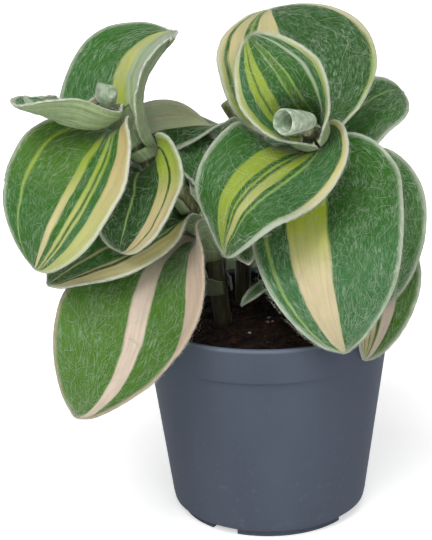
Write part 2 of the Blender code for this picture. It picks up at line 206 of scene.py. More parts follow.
LEAVES = (
    Leaf("left_1", "left", 17, (-30, 10, 62), (-42, 14, 48), (-0.3, 0.6, 0.8), 22),
    Leaf("left_2", "left", 25, (-34.5, -28, 49), (-43, -30.5, 35), (-0.6, -0.7, -0.4), 33.5, cup=65,
         rise=0.55, widest=0.55, roll=-5, clasp=200, point=1.8, leave=(-0.5, -0.9, -0.05)),
    Leaf("left_3", "left", 32.5, (-32.5, -14.5, 70.5), (-48.5, -20, 62), (-0.3, -0.65, 0.7), 21, cup=20,
         rise=0.95, widest=0.5, roll=15, bell=4.4, clasp=180, point=3, leave=(-0.8, -0.15, 0.6)),
    Leaf("left_4", "left", 38.5, (-30, 22, 79.5), (-44.5, 25.5, 68), (-0.5, 0.85, 0), 20, cup=55,
         rise=0.3, widest=0.55, roll=-15, clasp=165, point=2.4, leave=(-0.3, 0.95, 0.1)),
    Leaf("left_5", "left", 47, (-29, -25.5, 80.5), (-32, -24, 70.5), (0, -0.1, 1), 23, cup=65, rise=1.1,
         widest=0.3, roll=-5, bell=3.3, clasp=215, point=2.4, opens=0.6, leave=(-0.6, -0.75, 0.2)),
    Leaf("left_6", "left", 58.5, (-46, -26, 80.5), (-50.5, -23.5, 67), (-0.1, -0.4, 0.9), 30, cup=20,
         rise=0.85, widest=0.35, roll=0, bell=3.5, clasp=110, point=2.7, opens=0.55,
         leave=(-0.75, -0.6, 0.3)),
    Leaf("left_7", "left", 52.5, (-28.5, 4, 105.5), (-20, 10.5, 112), (-0.5, 0.05, 0.9), 40, cup=62,
         rise=1.5, widest=0.55, roll=5, bell=4.2, clasp=140, point=2.8, opens=0.45,
         leave=(0.9, 0.4, -0.05)),
    Leaf("left_8", "left", 64, (-35.5, -16, 96.5), (-51.5, -14.5, 103), (-0.75, 0.15, 0.65), 17.5,
         cup=45, rise=0.9, widest=0.65, roll=-55, clasp=170, point=2.6, opens=1,
         leave=(-0.65, -0.75, 0)),
    Leaf("middle_1", "middle", 20, (-3.5, 23, 59), (-7, 33, 37.5), (0.1, 0.85, 0.5), 29, cup=45,
         rise=1.1, widest=0.65, roll=-5, bell=3.6, point=2.7, leave=(0.4, 0.9, -0.05)),
    Leaf("middle_2", "middle", 28, (-4.5, -12, 72.5), (-4.5, -27.5, 68), (-0.3, -0.45, 0.85), 14,
         cup=35, rise=1.6, widest=0.5, bell=3.5, clasp=215, point=2.3, leave=(-0.1, -1, -0.05)),
    Leaf("middle_3", "middle", 34.5, (14, 27, 84), (22, 38, 70), (0.4, 0.7, 0.6), 26),
    Leaf("middle_4", "middle", 42.5, (-8.5, 5, 86.5), (-10.5, -3.5, 78), (-0.05, -0.65, 0.75), 24,
         cup=30, rise=0.95, widest=0.3, roll=-45, bell=3.6, clasp=160, point=3.4, opens=0.45,
         leave=(-0.8, -0.55, -0.3)),
    Leaf("middle_5", "middle", 49.5, (-18.5, 4.5, 91.5), (-38.5, 9, 81.5), (0.1, -0.8, 0.6), 14, cup=20,
         rise=0.25, widest=0.55, roll=20, clasp=160, point=1.6, opens=0.1, leave=(-0.8, -0.6, -0.15)),
    Leaf("right_1", "right", 9, (2.5, -7, 57), (-6, -10, 52.5), (-0.55, -0.35, 0.8), 8, cup=65,
         rise=0.45, widest=0.35, roll=-5, bell=4.6, clasp=155, point=2, leave=(0, -0.8, 0.6)),
    Leaf("right_2", "right", 16.5, (25.5, 23, 63.5), (34, 37, 50.5), (0.25, 0.6, 0.75), 27, rise=0.65,
         widest=0.45, bell=4, point=2.1, leave=(0.5, 0.8, 0.35)),
    Leaf("right_3", "right", 22.5, (22.5, -9, 62), (20.5, -24, 44), (0.2, -0.95, -0.15), 22.5, cup=75,
         rise=0.75, widest=0.4, roll=-10, bell=4, clasp=205, point=1.8, leave=(0.65, -0.75, 0.05)),
    Leaf("right_4", "right", 28, (24, -14, 78), (26.5, -19, 56), (0.05, -0.6, 0.8), 23, cup=25,
         rise=1.4, widest=0.35, roll=-15, bell=4.3, clasp=170, point=1.9, leave=(1, -0.1, -0.1)),
    Leaf("right_5", "right", 36.5, (28, 6.5, 95.5), (33, 12.5, 96), (-0.05, -0.8, 0.6), 15.5, cup=50,
         rise=1.2, widest=0.45, roll=10, clasp=180, point=3, leave=(0.45, 0.85, 0.3)),
    Leaf("right_6", "right", 44.5, (13, -34, 66), (15.5, -36, 50.5), (-0.2, -0.8, 0.6), 33.5, cup=20,
         rise=0.5, widest=0.3, roll=-15, clasp=205, point=3, leave=(0.25, -0.85, -0.5)),
    Leaf("right_7", "right", 51, (6.5, -2, 108), (2.5, 10, 116.5), (0.2, -0.9, 0.35), 36.5, cup=40,
         rise=0.2, widest=0.45, roll=-5, bell=3.3, clasp=165, point=2.2, leave=(-0.3, 0.05, 0.95)),
    Leaf("right_8", "right", 59, (-8, -36.5, 82), (-9.5, -33, 72), (0.25, -0.7, 0.65), 25, cup=25,
         rise=0.75, widest=0.35, roll=40, clasp=185, point=2.6, leave=(0.45, -0.05, -0.9)),
    Leaf("right_9", "right", 68.5, (2, -27.5, 107.5), (-3.5, -21, 115.5), (0.25, -0.95, -0.2), 20,
         cup=60, rise=0.2, widest=0.5, roll=-15, bell=4.7, clasp=355, point=1.4, opens=0.5, wrap=350,
         leave=(-0.55, -0.15, 0.85)),
)

BUDS = (
    Bud(
        "left", (-33, -10.1, 99.9), (-35.8, -12.7, 105),
        ((0, 0), (0.9, 0), (2.5, 0.42), (1.4, 0.75), (0.5, 0.95), (0, 1)),
    ),
    Bud(
        "right", (9.2, -26.6, 98.6), (3.1, -33.3, 100),
        ((0, 0), (1.4, 0), (2.2, 0.35), (2.7, 0.85), (2.7, 1), (2.3, 1), (2, 0.8), (1.4, 0.45), (0, 0.4)),
    ),
)


class Stripes(NamedTuple):
    """How a leaf is variegated: bands from one margin (-1) to the other (1)."""

    bands: tuple  # (where the band ends, its colour, and its colour near the tip if that is another)
    lean: float = 0.0  # how far the bands swing across the blade from foot to tip
    # shade is partly the blade's own tone and partly painted light: a blade is made lighter or darker for
    # the light that reaches it
    shade: float = 1.0  # brightness of the whole blade
    wool: float = 1.0  # amount of matted down on the upper side
    fresh: float = 1.0  # how much yellower the foot of the blade is
    edge: str = "margin"  # colour of the wool along the margin


PLAIN = Stripes(((-0.3, "green"), (-0.25, "vein"), (1, "green")))

STRIPES = {
    "left_2": Stripes(
        ((-0.78, "fawn"), (-0.15, "moss"), (0.15, "blush"), (2, "moss")),
        lean=1.5, wool=0.85, fresh=0.0, edge="fawn",
    ),
    "left_3": Stripes(
        ((-0.6, "cream"), (-0.54, "deep"), (-0.48, "vein", "tan"), (-0.12, "deep", "green"),
         (-0.03, "vein", "tan"), (1, "green")),
        # Painted light: this blade is made lighter, as it lies in shade.
        shade=1.16,
    ),
    "left_5": Stripes(
        ((-0.72, "lime", "tan"), (-0.67, "deep", "green"), (-0.44, "lime", "tan"), (0.02, "deep"),
         (0.06, "vein"), (1, "deep")),
        wool=0.5,
    ),
    "left_6": Stripes(
        ((-0.68, "tan", "butter"), (-0.54, "green", "misty"), (-0.49, "lime", "butter"),
         (-0.43, "green"), (-0.36, "lime", "butter"), (-0.2, "green"), (-0.05, "lime", "cream"),
         (0.62, "moss", "green"), (0.67, "lime", "vein"), (1, "moss", "green")),
        wool=0.7,
    ),
    "left_7": Stripes(
        ((-0.3, "misty", "green"), (-0.08, "lime", "butter"), (0.0, "silver"), (0.04, "vein"),
         (1, "silver")),
        shade=1.06,
    ),
    "left_8": Stripes(
        ((-0.7, "tan", "silver"), (-0.2, "misty"), (0.2, "vein", "silver"), (0.7, "misty"),
         (1, "tan", "silver")),
    ),
    # Painted shade: the lower part of this blade is deep green, the top paler.
    "middle_5": Stripes(
        ((-0.1, "deep"), (0.1, "dusk"), (0.2, "silver"), (0.55, "dusk"), (0.7, "silver"), (1, "dusk")),
    ),
    "right_3": Stripes(
        ((-0.45, "moss"), (-0.15, "blush"), (-0.05, "moss"), (0.15, "cream", "tan"), (0.2, "moss"),
         (0.4, "cream", "tan"), (0.47, "moss"), (0.7, "cream", "tan"), (1, "moss")),
    ),
    "right_4": Stripes(PLAIN.bands, shade=0.93, wool=1.4),
    "right_5": Stripes(PLAIN.bands, shade=0.9, wool=1.4),
    "right_6": Stripes(
        # Painted light: the broad stripe's foot is a brighter lime, as the leaf above shades it.
        ((0, "green", "misty"), (0.53, "lit_lime", "sand"), (0.78, "green", "misty"),
         (0.83, "lime", "vein"), (1, "green", "misty")),
    ),
    "right_7": Stripes(
        ((-0.9, "lime", "cream"), (-0.84, "green"), (-0.62, "lime", "cream"), (-0.55, "green"),
         (-0.5, "lime"), (-0.42, "green"), (-0.05, "cream"), (0.93, "pine"), (1, "lime", "tan")),
        shade=0.93,
    ),
    "right_8": Stripes(
        ((-0.87, "cream", "silver"), (-0.37, "misty", "green"), (-0.33, "vein"), (-0.25, "green"),
         (-0.1, "lime", "butter"), (-0.04, "green"), (0, "lime"), (0.08, "green"), (0.36, "lime"),
         (1, "green")),
        shade=0.87, wool=0.75,
    ),
    "right_9": Stripes(
        ((-0.82, "lime", "butter"), (-0.6, "misty"), (-0.46, "lime"), (-0.41, "green"), (-0.22, "lime"),
         (0.06, "green"), (0.1, "vein"), (0.24, "moss"), (0.27, "vein"), (0.62, "green"),
         (0.7, "silver"), (0.85, "misty"), (1, "lime", "butter")),
        shade=0.93, wool=0.9,
    ),
}

PINNATE = Stripes(
    ((-0.7, "green"), (-0.55, "lime", "cream"), (-0.1, "green"), (0.2, "lime", "cream"), (0.6, "green"),
     (0.66, "vein"), (1, "green")),
    wool=0.65,
)
for leaf_name in ("left_1", "left_4", "middle_1", "middle_3", "right_2"):
    STRIPES[leaf_name] = PINNATE


def linear(text):
    """Turn an sRGB hex colour into linear red, green and blue."""
    values = [int(text[k : k + 2], 16) / 255 for k in (1, 3, 5)]
    return [v / 12.92 if v <= 0.04045 else ((v + 0.055) / 1.055) ** 2.4 for v in values]


def colour(name, description, text):
    """Colour property with an sRGB hex default."""
    return FloatVectorProperty(
        name=name, description=description, subtype="COLOR", size=3, min=0, max=1, default=linear(text)
    )


def length(name, description, millimetres):
    """Length property in metres with a default in millimetres."""
    metres = millimetres * MM
    return FloatProperty(
        name=name, description=description, default=metres, min=0, precision=5, unit="LENGTH"
    )


class PotSettings(bpy.types.PropertyGroup):
    """Nursery pot."""

    steps: IntProperty(name="Steps", description="Steps round the pot", default=144, min=24)
    edge: length("Edge radius", "Rounding of the moulded edges", 0.25)
    plastic: colour("Plastic", "Colour of the moulded polypropylene", "#505764")
    dust: colour("Dust", "Colour of the dried splashes low on the wall", "#77797c")
    # Painted shade: near black for the wall inside the lip, which the leaves shade.
    inner_shade: colour("Stain", "Colour of the peat stain inside the lip", "#150c09")


class SoilSettings(bpy.types.PropertyGroup):
    """Peat mix."""

    relief: length("Relief", "Height of the lumps in the surface", 1.3)
    crumbs: IntProperty(name="Crumbs", description="Loose crumbs on the surface", default=900, min=0)
    fibres: IntProperty(name="Fibres", description="Loose peat fibres", default=160, min=0)
    perlite: IntProperty(name="Perlite", description="White mineral grains", default=26, min=0)
    peat: colour("Peat", "Colour of the damp peat", "#190a06")
    bark: colour("Bark", "Colour of the drier crumbs", "#46281a")
    grain: colour("Grain", "Colour of the mineral grains", "#c9b7a4")


class LeafSettings(bpy.types.PropertyGroup):
    """Blades and their variegation."""

    columns: IntProperty(name="Columns", description="Faces across a blade", default=40, min=8)
    rows: IntProperty(name="Rows", description="Faces along a blade", default=64, min=16)
    thickness: length("Thickness", "Thickness of a blade", 0.45)
    green: colour("Green", "Main green of a blade", "#2f5e1c")
    deep: colour("Deep green", "Green of a shaded young blade", "#1f410e")
    pine: colour("Pine green", "Dark green of a grown blade at the back", "#27511a")
    moss: colour("Moss green", "Yellower green of an old blade", "#466d20")
    misty: colour("Misty green", "Green seen through thick down", "#366334")
    lime: colour("Lime", "Stripe near the foot of a blade", "#91a437")
    # Painted light: a brighter lime for the foot of a broad stripe that lies in the shade of the leaf above.
    lit_lime: colour("Lemon", "Clear foot of a broad stripe", "#bccf2e")
    butter: colour("Butter", "Clear yellow of a fresh stripe", "#b3b76d")
    cream: colour("Cream", "Stripe near the tip of a blade", "#d0c590")
    sand: colour("Sand", "Pinkish cream near the tip of a broad stripe", "#c6b792")
    tan: colour("Tan", "Stripe on an old blade", "#bfae82")
    blush: colour("Blush", "Pinkish stripe on the oldest blades", "#d3c1b0")
    fawn: colour("Fawn", "Woolly pinkish margin of an old blade", "#c2ac98")
    vein: colour("Vein", "Fine light line", "#86a258")
    silver: colour("Silver", "Pale downy part", "#a3b296")
    back: colour("Underside", "Pale green of the underside", "#8ca070")
    dusk: colour("Dusk", "Shaded grey olive of a thin young blade", "#aeb096")
    fleck: colour("Fleck", "Matted down seen as light flecks", "#98b398")
    # Painted shade: near-black brown for sheaths and stems low in the plant, where the leaves shade them.
    dry: colour("Dry foot", "Old brown sheaths and stems low in the plant", "#160e08")
    margin: colour("Margin", "Woolly margin", "#ccd2bf")


class DownSettings(bpy.types.PropertyGroup):
    """Cobweb of white hairs."""

    thickness: length("Thickness", "Thickness of one hair", 0.022)
    density: FloatProperty(
        name="Density", description="Hairs on a square millimetre of the upper side", default=0.95, min=0
    )
    longest: length("Longest", "Length of the longest common hair", 6.5)
    white: colour("White", "Colour of the hairs", "#cbd5bf")


class StageSettings(bpy.types.PropertyGroup):
    """Floor, lights and camera."""

    ambient: FloatProperty(name="Ambient", description="Strength of the sky", default=0.24, min=0)
    key: FloatProperty(name="Key", description="Power of the key light", default=9.0, min=0, unit="POWER")
    fill: FloatProperty(name="Fill", description="Power of the fill light", default=3.4, min=0, unit="POWER")
    back: FloatProperty(name="Back", description="Power of the back light", default=2.2, min=0, unit="POWER")
    lens: FloatProperty(name="Lens", description="Focal length", default=105.0, min=1, unit="CAMERA")
    floor: colour("Floor", "Colour of the floor", "#f2f2f2")


def add_node(tree, kind, inputs=(), **settings):
    """Add a shader node, set its options, and fill its inputs or link them to a socket or a node.

    The inputs are a dict by name, or a list in the order of the node's sockets. For MapRange the
    order is the value, From Min, From Max, To Min and To Max.
    """
    node = tree.nodes.new(f"ShaderNode{kind}")
    for name, value in settings.items():
        setattr(node, name, value)
    for name, value in inputs.items() if isinstance(inputs, dict) else enumerate(inputs):
        if isinstance(value, bpy.types.Node):
            value = next(socket for socket in value.outputs if socket.enabled)
        if isinstance(value, bpy.types.NodeSocket):
            tree.links.new(value, node.inputs[name])
        else:
            node.inputs[name].default_value = (*value, 1.0) if isinstance(value, Color) else value
    return node


def new_material(name):
    """Material with an empty node tree, and the function that adds nodes to it."""
    mat = bpy.data.materials.new(name)
    mat.use_nodes = True
    mat.node_tree.nodes.clear()
    return mat, partial(add_node, mat.node_tree)


def set_ramp(node, *stops):
    """Give a colour ramp node its (position, colour) stops."""
    elements = node.color_ramp.elements
    while len(elements) > 1:
        elements.remove(elements[-1])
    for k, (position, value) in enumerate(stops):
        element = elements[0] if k == 0 else elements.new(position)
        element.position = position
        element.color = (*value, 1.0)


def add_piece(name, mesh, materials, nodes=()):
    """Put a finished mesh on the frame: it rides on the root and stands for CAD nodes."""
    for mat in materials:
        mesh.materials.append(mat)
    mesh.shade_smooth()
    obj = bpy.data.objects.new(name, mesh)
    bpy.context.scene.collection.objects.link(obj)
    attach(obj, "root")
    if nodes:
        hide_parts(*nodes)
    return obj


def mesh_from(bm, name):
    """Turn a bmesh in millimetres into a mesh in metres."""
    bmesh.ops.scale(bm, vec=(MM, MM, MM), verts=bm.verts)
    mesh = bpy.data.meshes.new(name)
    bm.to_mesh(mesh)
    bm.free()
    return mesh


def baked(obj):
    """Mesh of an object with its modifiers applied; the object itself is removed."""
    bpy.context.view_layer.update()
    mesh = bpy.data.meshes.new_from_object(obj.evaluated_get(bpy.context.evaluated_depsgraph_get()))
    bpy.data.objects.remove(obj)
    return mesh


def loose_object(name, data):
    """Temporary object that is still being worked on."""
    obj = bpy.data.objects.new(name, data)
    bpy.context.scene.collection.objects.link(obj)
    return obj


def tube_mesh(name, curve):
    """Mesh of a bevelled curve, with its end caps joined to the tube."""
    mesh = baked(loose_object(name, curve))
    bpy.data.curves.remove(curve)
    bm = bmesh.new()
    bm.from_mesh(mesh)
    bmesh.ops.remove_doubles(bm, verts=bm.verts, dist=0.0001 * MM)
    bm.to_mesh(mesh)
    bm.free()
    return mesh


def three_sided(thickness):
    """Closed curve with three corners, the section of a fine strand."""
    curve = bpy.data.curves.new("strand_section", "CURVE")
    spline = curve.splines.new("POLY")
    spline.points.add(2)
    for k, point in enumerate(spline.points):
        turn = -2 * math.pi * k / 3
        point.co = (thickness / 2 * math.cos(turn), thickness / 2 * math.sin(turn), 0, 1)
    spline.use_cyclic_u = True
    return loose_object("strand_section", curve)


def spaced(points, least=0.05):
    """The points as vectors, without those that come back nearly to an earlier one."""
    kept = []
    for p in map(Vector, points):
        if all((p - q).length > least for q in kept):
            kept.append(p)
    return kept


def strands_mesh(name, strands, thickness, taper=0.35):
    """Mesh of many fine tubes: each strand is a list of points in millimetres."""
    section = three_sided(thickness)
    curve = bpy.data.curves.new(name, "CURVE")
    curve.dimensions = "3D"
    curve.bevel_mode = "OBJECT"
    curve.bevel_object = section
    curve.use_fill_caps = True
    for number, points in enumerate(map(spaced, strands)):
        last = len(points) - 1
        if last < 1:
            continue
        weight = 1.8 if number % 7 == 0 else 0.8  # a few stout strands among fine ones
        spline = curve.splines.new("POLY")
        spline.points.add(last)
        for k, p in enumerate(points):
            swell = math.sin(math.pi * (0.15 + 0.7 * k / last))
            spline.points[k].co = (*(p * MM), 1.0)
            spline.points[k].radius = weight * (taper + (1 - taper) * swell)
    mesh = tube_mesh(name, curve)
    bpy.data.curves.remove(section.data)
    return mesh


def smooth_step(x):
    """Ease from 0 to 1 as x goes from 0 to 1."""
    x = min(max(x, 0.0), 1.0)
    return x * x * (3.0 - 2.0 * x)


def curve_through(points, steps):
    """Points on a smooth curve through the given ones, with steps to each span."""
    pts = [Vector(p) for p in points]
    pts = [2 * pts[0] - pts[1]] + pts + [2 * pts[-1] - pts[-2]]
    out = []
    for a, b, c, d in zip(pts, pts[1:], pts[2:], pts[3:]):
        for k in range(steps):
            t = k / steps
            square = (2 * a - 5 * b + 4 * c - d) * t * t
            cube = (3 * b - a - 3 * c + d) * t ** 3
            out.append(0.5 * (2 * b + (c - a) * t + square + cube))
    out.append(pts[-2])
    return out


class Path:
    """A polyline that is asked for its point and direction at a distance along it."""

    def __init__(self, points):
        self.points = points
        self.marks = [0.0]
        for a, b in zip(points, points[1:]):
            self.marks.append(self.marks[-1] + (b - a).length)
        self.length = self.marks[-1]

    def span(self, distance):
        """Which span a distance falls in, and how far along that span."""
        last = len(self.points) - 2
        k = 0
        while k < last and self.marks[k + 1] < distance:
            k += 1
        return k, (distance - self.marks[k]) / (self.marks[k + 1] - self.marks[k])

    def at(self, distance):
        """Point and unit direction at the given distance."""
        k, part = self.span(distance)
        way = self.points[k + 1] - self.points[k]
        return self.points[k] + way * part, way.normalized()


def stem_path(stem):
    """Middle line of a stem, from the soil up."""
    return Path(curve_through(stem.route, ROUTE_STEPS))


def stem_radius(stem, share):
    """Radius of a stem, which thins evenly from its foot (0) to its top (1)."""
    return stem.low_radius + (stem.top_radius - stem.low_radius) * share


def hermite(a, b, slope_a, slope_b, steps):
    """Points on a cubic from a towards b, leaving b itself out."""
    out = []
    for k in range(steps):
        t = k / steps
        s = 1 - t
        ends = a * (1 + 2 * t) * s * s + b * (3 - 2 * t) * t * t
        out.append(ends + slope_a * t * s * s - slope_b * t * t * s)
    return out


class Blade:
    """A leaf's surface: its midrib, which way its upper side looks, and its outline."""

    def __init__(self, leaf, stems):
        self.leaf = leaf
        stem = stems[leaf.stem]
        path = stem_path(stem)
        foot, along = path.at(leaf.at)
        away = Vector(leaf.leave) if leaf.leave else Vector(leaf.mid) - foot
        away = (away - along * away.dot(along)).normalized()
        self.sheath_radius = stem_radius(stem, leaf.at / path.length) + SHEATH_ROOM
        self.mouth = max(leaf.bell, self.sheath_radius)
        foot = foot + away * self.sheath_radius
        top, along = path.at(leaf.at + SHEATH_LENGTH)
        top = top + (away - along * away.dot(along)).normalized() * self.mouth
        mid = Vector(leaf.mid)
        tip = Vector(leaf.tip)
        inner = mid - top
        outer = tip - mid
        over = (inner.normalized() * outer.length + outer.normalized() * inner.length).normalized()
        end = 2 * over.project(outer) - over
        half = MIDRIB_STEPS // 2
        line = hermite(top, mid, along * inner.length * leaf.rise, over * inner.length, half)
        line += hermite(mid, tip, over * outer.length, end * outer.length, half) + [tip]
        self.path = Path([foot] + line)
        self.sheath_length = self.path.marks[1]
        self.length = self.path.length - self.sheath_length
        self.normals = self.carry(-away, Vector(leaf.face), leaf.roll)

    def carry(self, start, face, roll):
        """Carry the first normal along without twist, then turn it to meet the wanted face."""
        marks = self.path.marks
        tangents = [self.path.at(0.5 * (a + b))[1] for a, b in zip(marks, marks[1:])]
        tangents.append(tangents[-1])
        normals = [start]
        for tangent in tangents[1:]:
            n = normals[-1]
            normals.append((n - tangent * n.dot(tangent)).normalized())
        middle = min(range(len(marks)), key=lambda k: abs(self.share(marks[k]) - 0.5))
        axis = tangents[middle]
        wanted = (face - axis * face.dot(axis)).normalized()
        turn = math.atan2(normals[middle].cross(wanted).dot(axis), normals[middle].dot(wanted))
        for k, mark in enumerate(marks):
            share = self.share(mark)
            angle = turn * smooth_step(share * 2) + math.radians(roll) * smooth_step(share * 2 - 1)
            normals[k] = Quaternion(tangents[k], angle) @ normals[k]
        return normals

    def share(self, mark):
        """Where a distance along the midrib lies on the blade, from 0 at the sheath to 1."""
        return (mark - self.sheath_length) / self.length

    def half_width(self, share):
        """Half the flat width: the sheath's mouth, then an oval blade with a short round point."""
        leaf = self.leaf
        sheath = self.mouth * math.radians(leaf.clasp) / 2
        full = leaf.width / 2
        if share < leaf.widest:
            x = (leaf.widest - share) / leaf.widest
            return sheath + (full - sheath) * (1 - x ** 2.2)
        x = (share - leaf.widest) / (1 - leaf.widest)
        half = full * (leaf.blunt + (1 - leaf.blunt) * (1 - x ** leaf.point))
        x = max(share - 1 + TIP_SHARE, 0) / TIP_SHARE
        return half * math.sqrt(max(1 - x * x, TIP_END))

    def point(self, distance, side, lift=0.0):
        """A point of the blade: side runs -1 to 1 between the margins, lift is above the surface."""
        leaf = self.leaf
        distance = min(max(distance, 0.0), self.path.length)
        k, part = self.path.span(distance)
        way = self.path.points[k + 1] - self.path.points[k]
        along = way.normalized()
        n = self.normals[k].lerp(self.normals[k + 1], part)
        n = (n - along * n.dot(along)).normalized()
        share = self.share(distance)
        if share <= 0:
            arc = math.radians(leaf.wrap)
            flare = (self.mouth - self.sheath_radius) * distance / self.sheath_length
            half = (self.sheath_radius + flare) * arc / 2
        else:
            clasp = math.radians(leaf.clasp)
            opened = smooth_step(share / leaf.opens)
            arc = clasp + (math.radians(leaf.cup) - clasp) * opened
            half = self.half_width(share)
        radius = 2 * half / arc
        angle = side * arc / 2
        across = along.cross(n)
        x = radius * math.sin(angle)
        z = radius * (1 - math.cos(angle))
        outward = n * math.cos(angle) - across * math.sin(angle)
        spot = self.path.points[k] + way * part
        return spot + across * x + n * z + outward * (lift + self.relief(share, side))

    def relief(self, share, side):
        """Channel over the midrib, low ribs over the long veins and a slow wave in the margins."""
        if share <= 0:
            return 0.0
        ease = smooth_step(share * 6) * smooth_step((1 - share) * 6)
        channel = -CHANNEL_DEPTH * math.exp(-((side / CHANNEL_REACH) ** 2))
        ribs = RIB_HEIGHT * math.cos(side * RIB_TURNS)
        seed = self.leaf.at
        wave = noise.noise(Vector((share * 4, side * 1.5, seed))) * WAVE_HEIGHT * abs(side) ** 2.5
        dimple = noise.noise(Vector((share * 9, side * 3, seed + 7))) * DIMPLE_HEIGHT
        return ease * (channel + ribs + wave + dimple)

    def area(self):
        """Rough area of an oval as wide and long as the blade."""
        return self.leaf.width * self.length * OVAL_FILL


class Rod:
    """A round body along a path: a stem or a rolled leaf."""

    def __init__(self, path, radii, bare=0.0):
        self.path = path
        self.radii = radii  # (distance, radius) in order of distance
        self.bare = bare  # length without down at the foot

    @classmethod
    def of_stem(cls, stem):
        """A stem, with down on its upper half only."""
        path = stem_path(stem)
        radii = ((0, stem.low_radius), (path.length, stem.top_radius))
        return cls(path, radii, bare=path.length / 2)

    @classmethod
    def of_bud(cls, bud):
        """A bud, from its foot to the top of its profile."""
        path = Path([Vector(bud.foot), Vector(bud.tip)])
        top = max(range(len(bud.profile)), key=lambda k: (bud.profile[k][1], bud.profile[k][0]))
        return cls(path, [(z * path.length, r) for r, z in bud.profile[1 : top + 1]])

    def radius(self, distance):
        """Radius between the two nearest given ones."""
        for (a, low), (b, high) in zip(self.radii, self.radii[1:]):
            if distance <= b:
                return low + (high - low) * (distance - a) / max(b - a, 1e-6)
        return self.radii[-1][1]

    def point(self, turn, distance, lift):
        """A point lift above the surface, turn radians round the path."""
        spot, along = self.path.at(distance)
        side = along.cross(Vector((1, 0, 0))).normalized()
        across = along.cross(side)
        return spot + (side * math.cos(turn) + across * math.sin(turn)) * (self.radius(distance) + lift)


def down_material(down):
    """Wool: fine white plant hairs, which catch the light and look nearly grey in shade."""
    mat, node = new_material("white_plant_down")
    place = node("TexCoord").outputs["Object"]
    # Clumps of hair about 3 mm wide are whiter than the rest.
    clumps = node("TexNoise", {"Vector": place, "Scale": 330.0, "Detail": 2.0})
    tone = node("ValToRGB", {"Fac": clumps})
    set_ramp(tone, (0.3, down.white * 0.72), (0.65, down.white))
    shader = node(
        "BsdfPrincipled", {"Base Color": tone, "Roughness": 0.65, "Sheen Weight": 0.2, "IOR": 1.45}
    )
    node("OutputMaterial", {"Surface": shader})
    return mat


def ramp_stops(stripes, settings, column):
    """Stops of the ramp that paints the bands; column 0 is at the foot of the blade, 1 at its tip."""
    stops = []
    start = -2.0
    for end, *tints in stripes.bands:
        tint = getattr(settings, tints[-column])
        if end >= 1:
            end = 2.0
        soft = min(0.015, (end - start) * 0.3)  # the edge of a band is a little soft
        stops.append(((start + soft + 2) / 4, tint))
        stops.append(((end - soft + 2) / 4, tint))
        start = end
    return stops


def paint_foot_shade(node, tint, place, run, settings):
    """Paint shade on sheaths where they sit low in the plant: a near-black brown, for the shade under the
    leaves; run is the place along the leaf.
    """
    height = node("SeparateXYZ", [place]).outputs["Z"]
    low = node("MapRange", [height, 0.062, 0.072, 0.85, 0.0])
    foot = node("MapRange", [run, 0.1, 0.3, 1.0, 0.0])
    dry = node("Math", [low, foot], operation="MULTIPLY")
    return node("Mix", {"Factor": dry, "A": tint, "B": settings.dry}, data_type="RGBA")


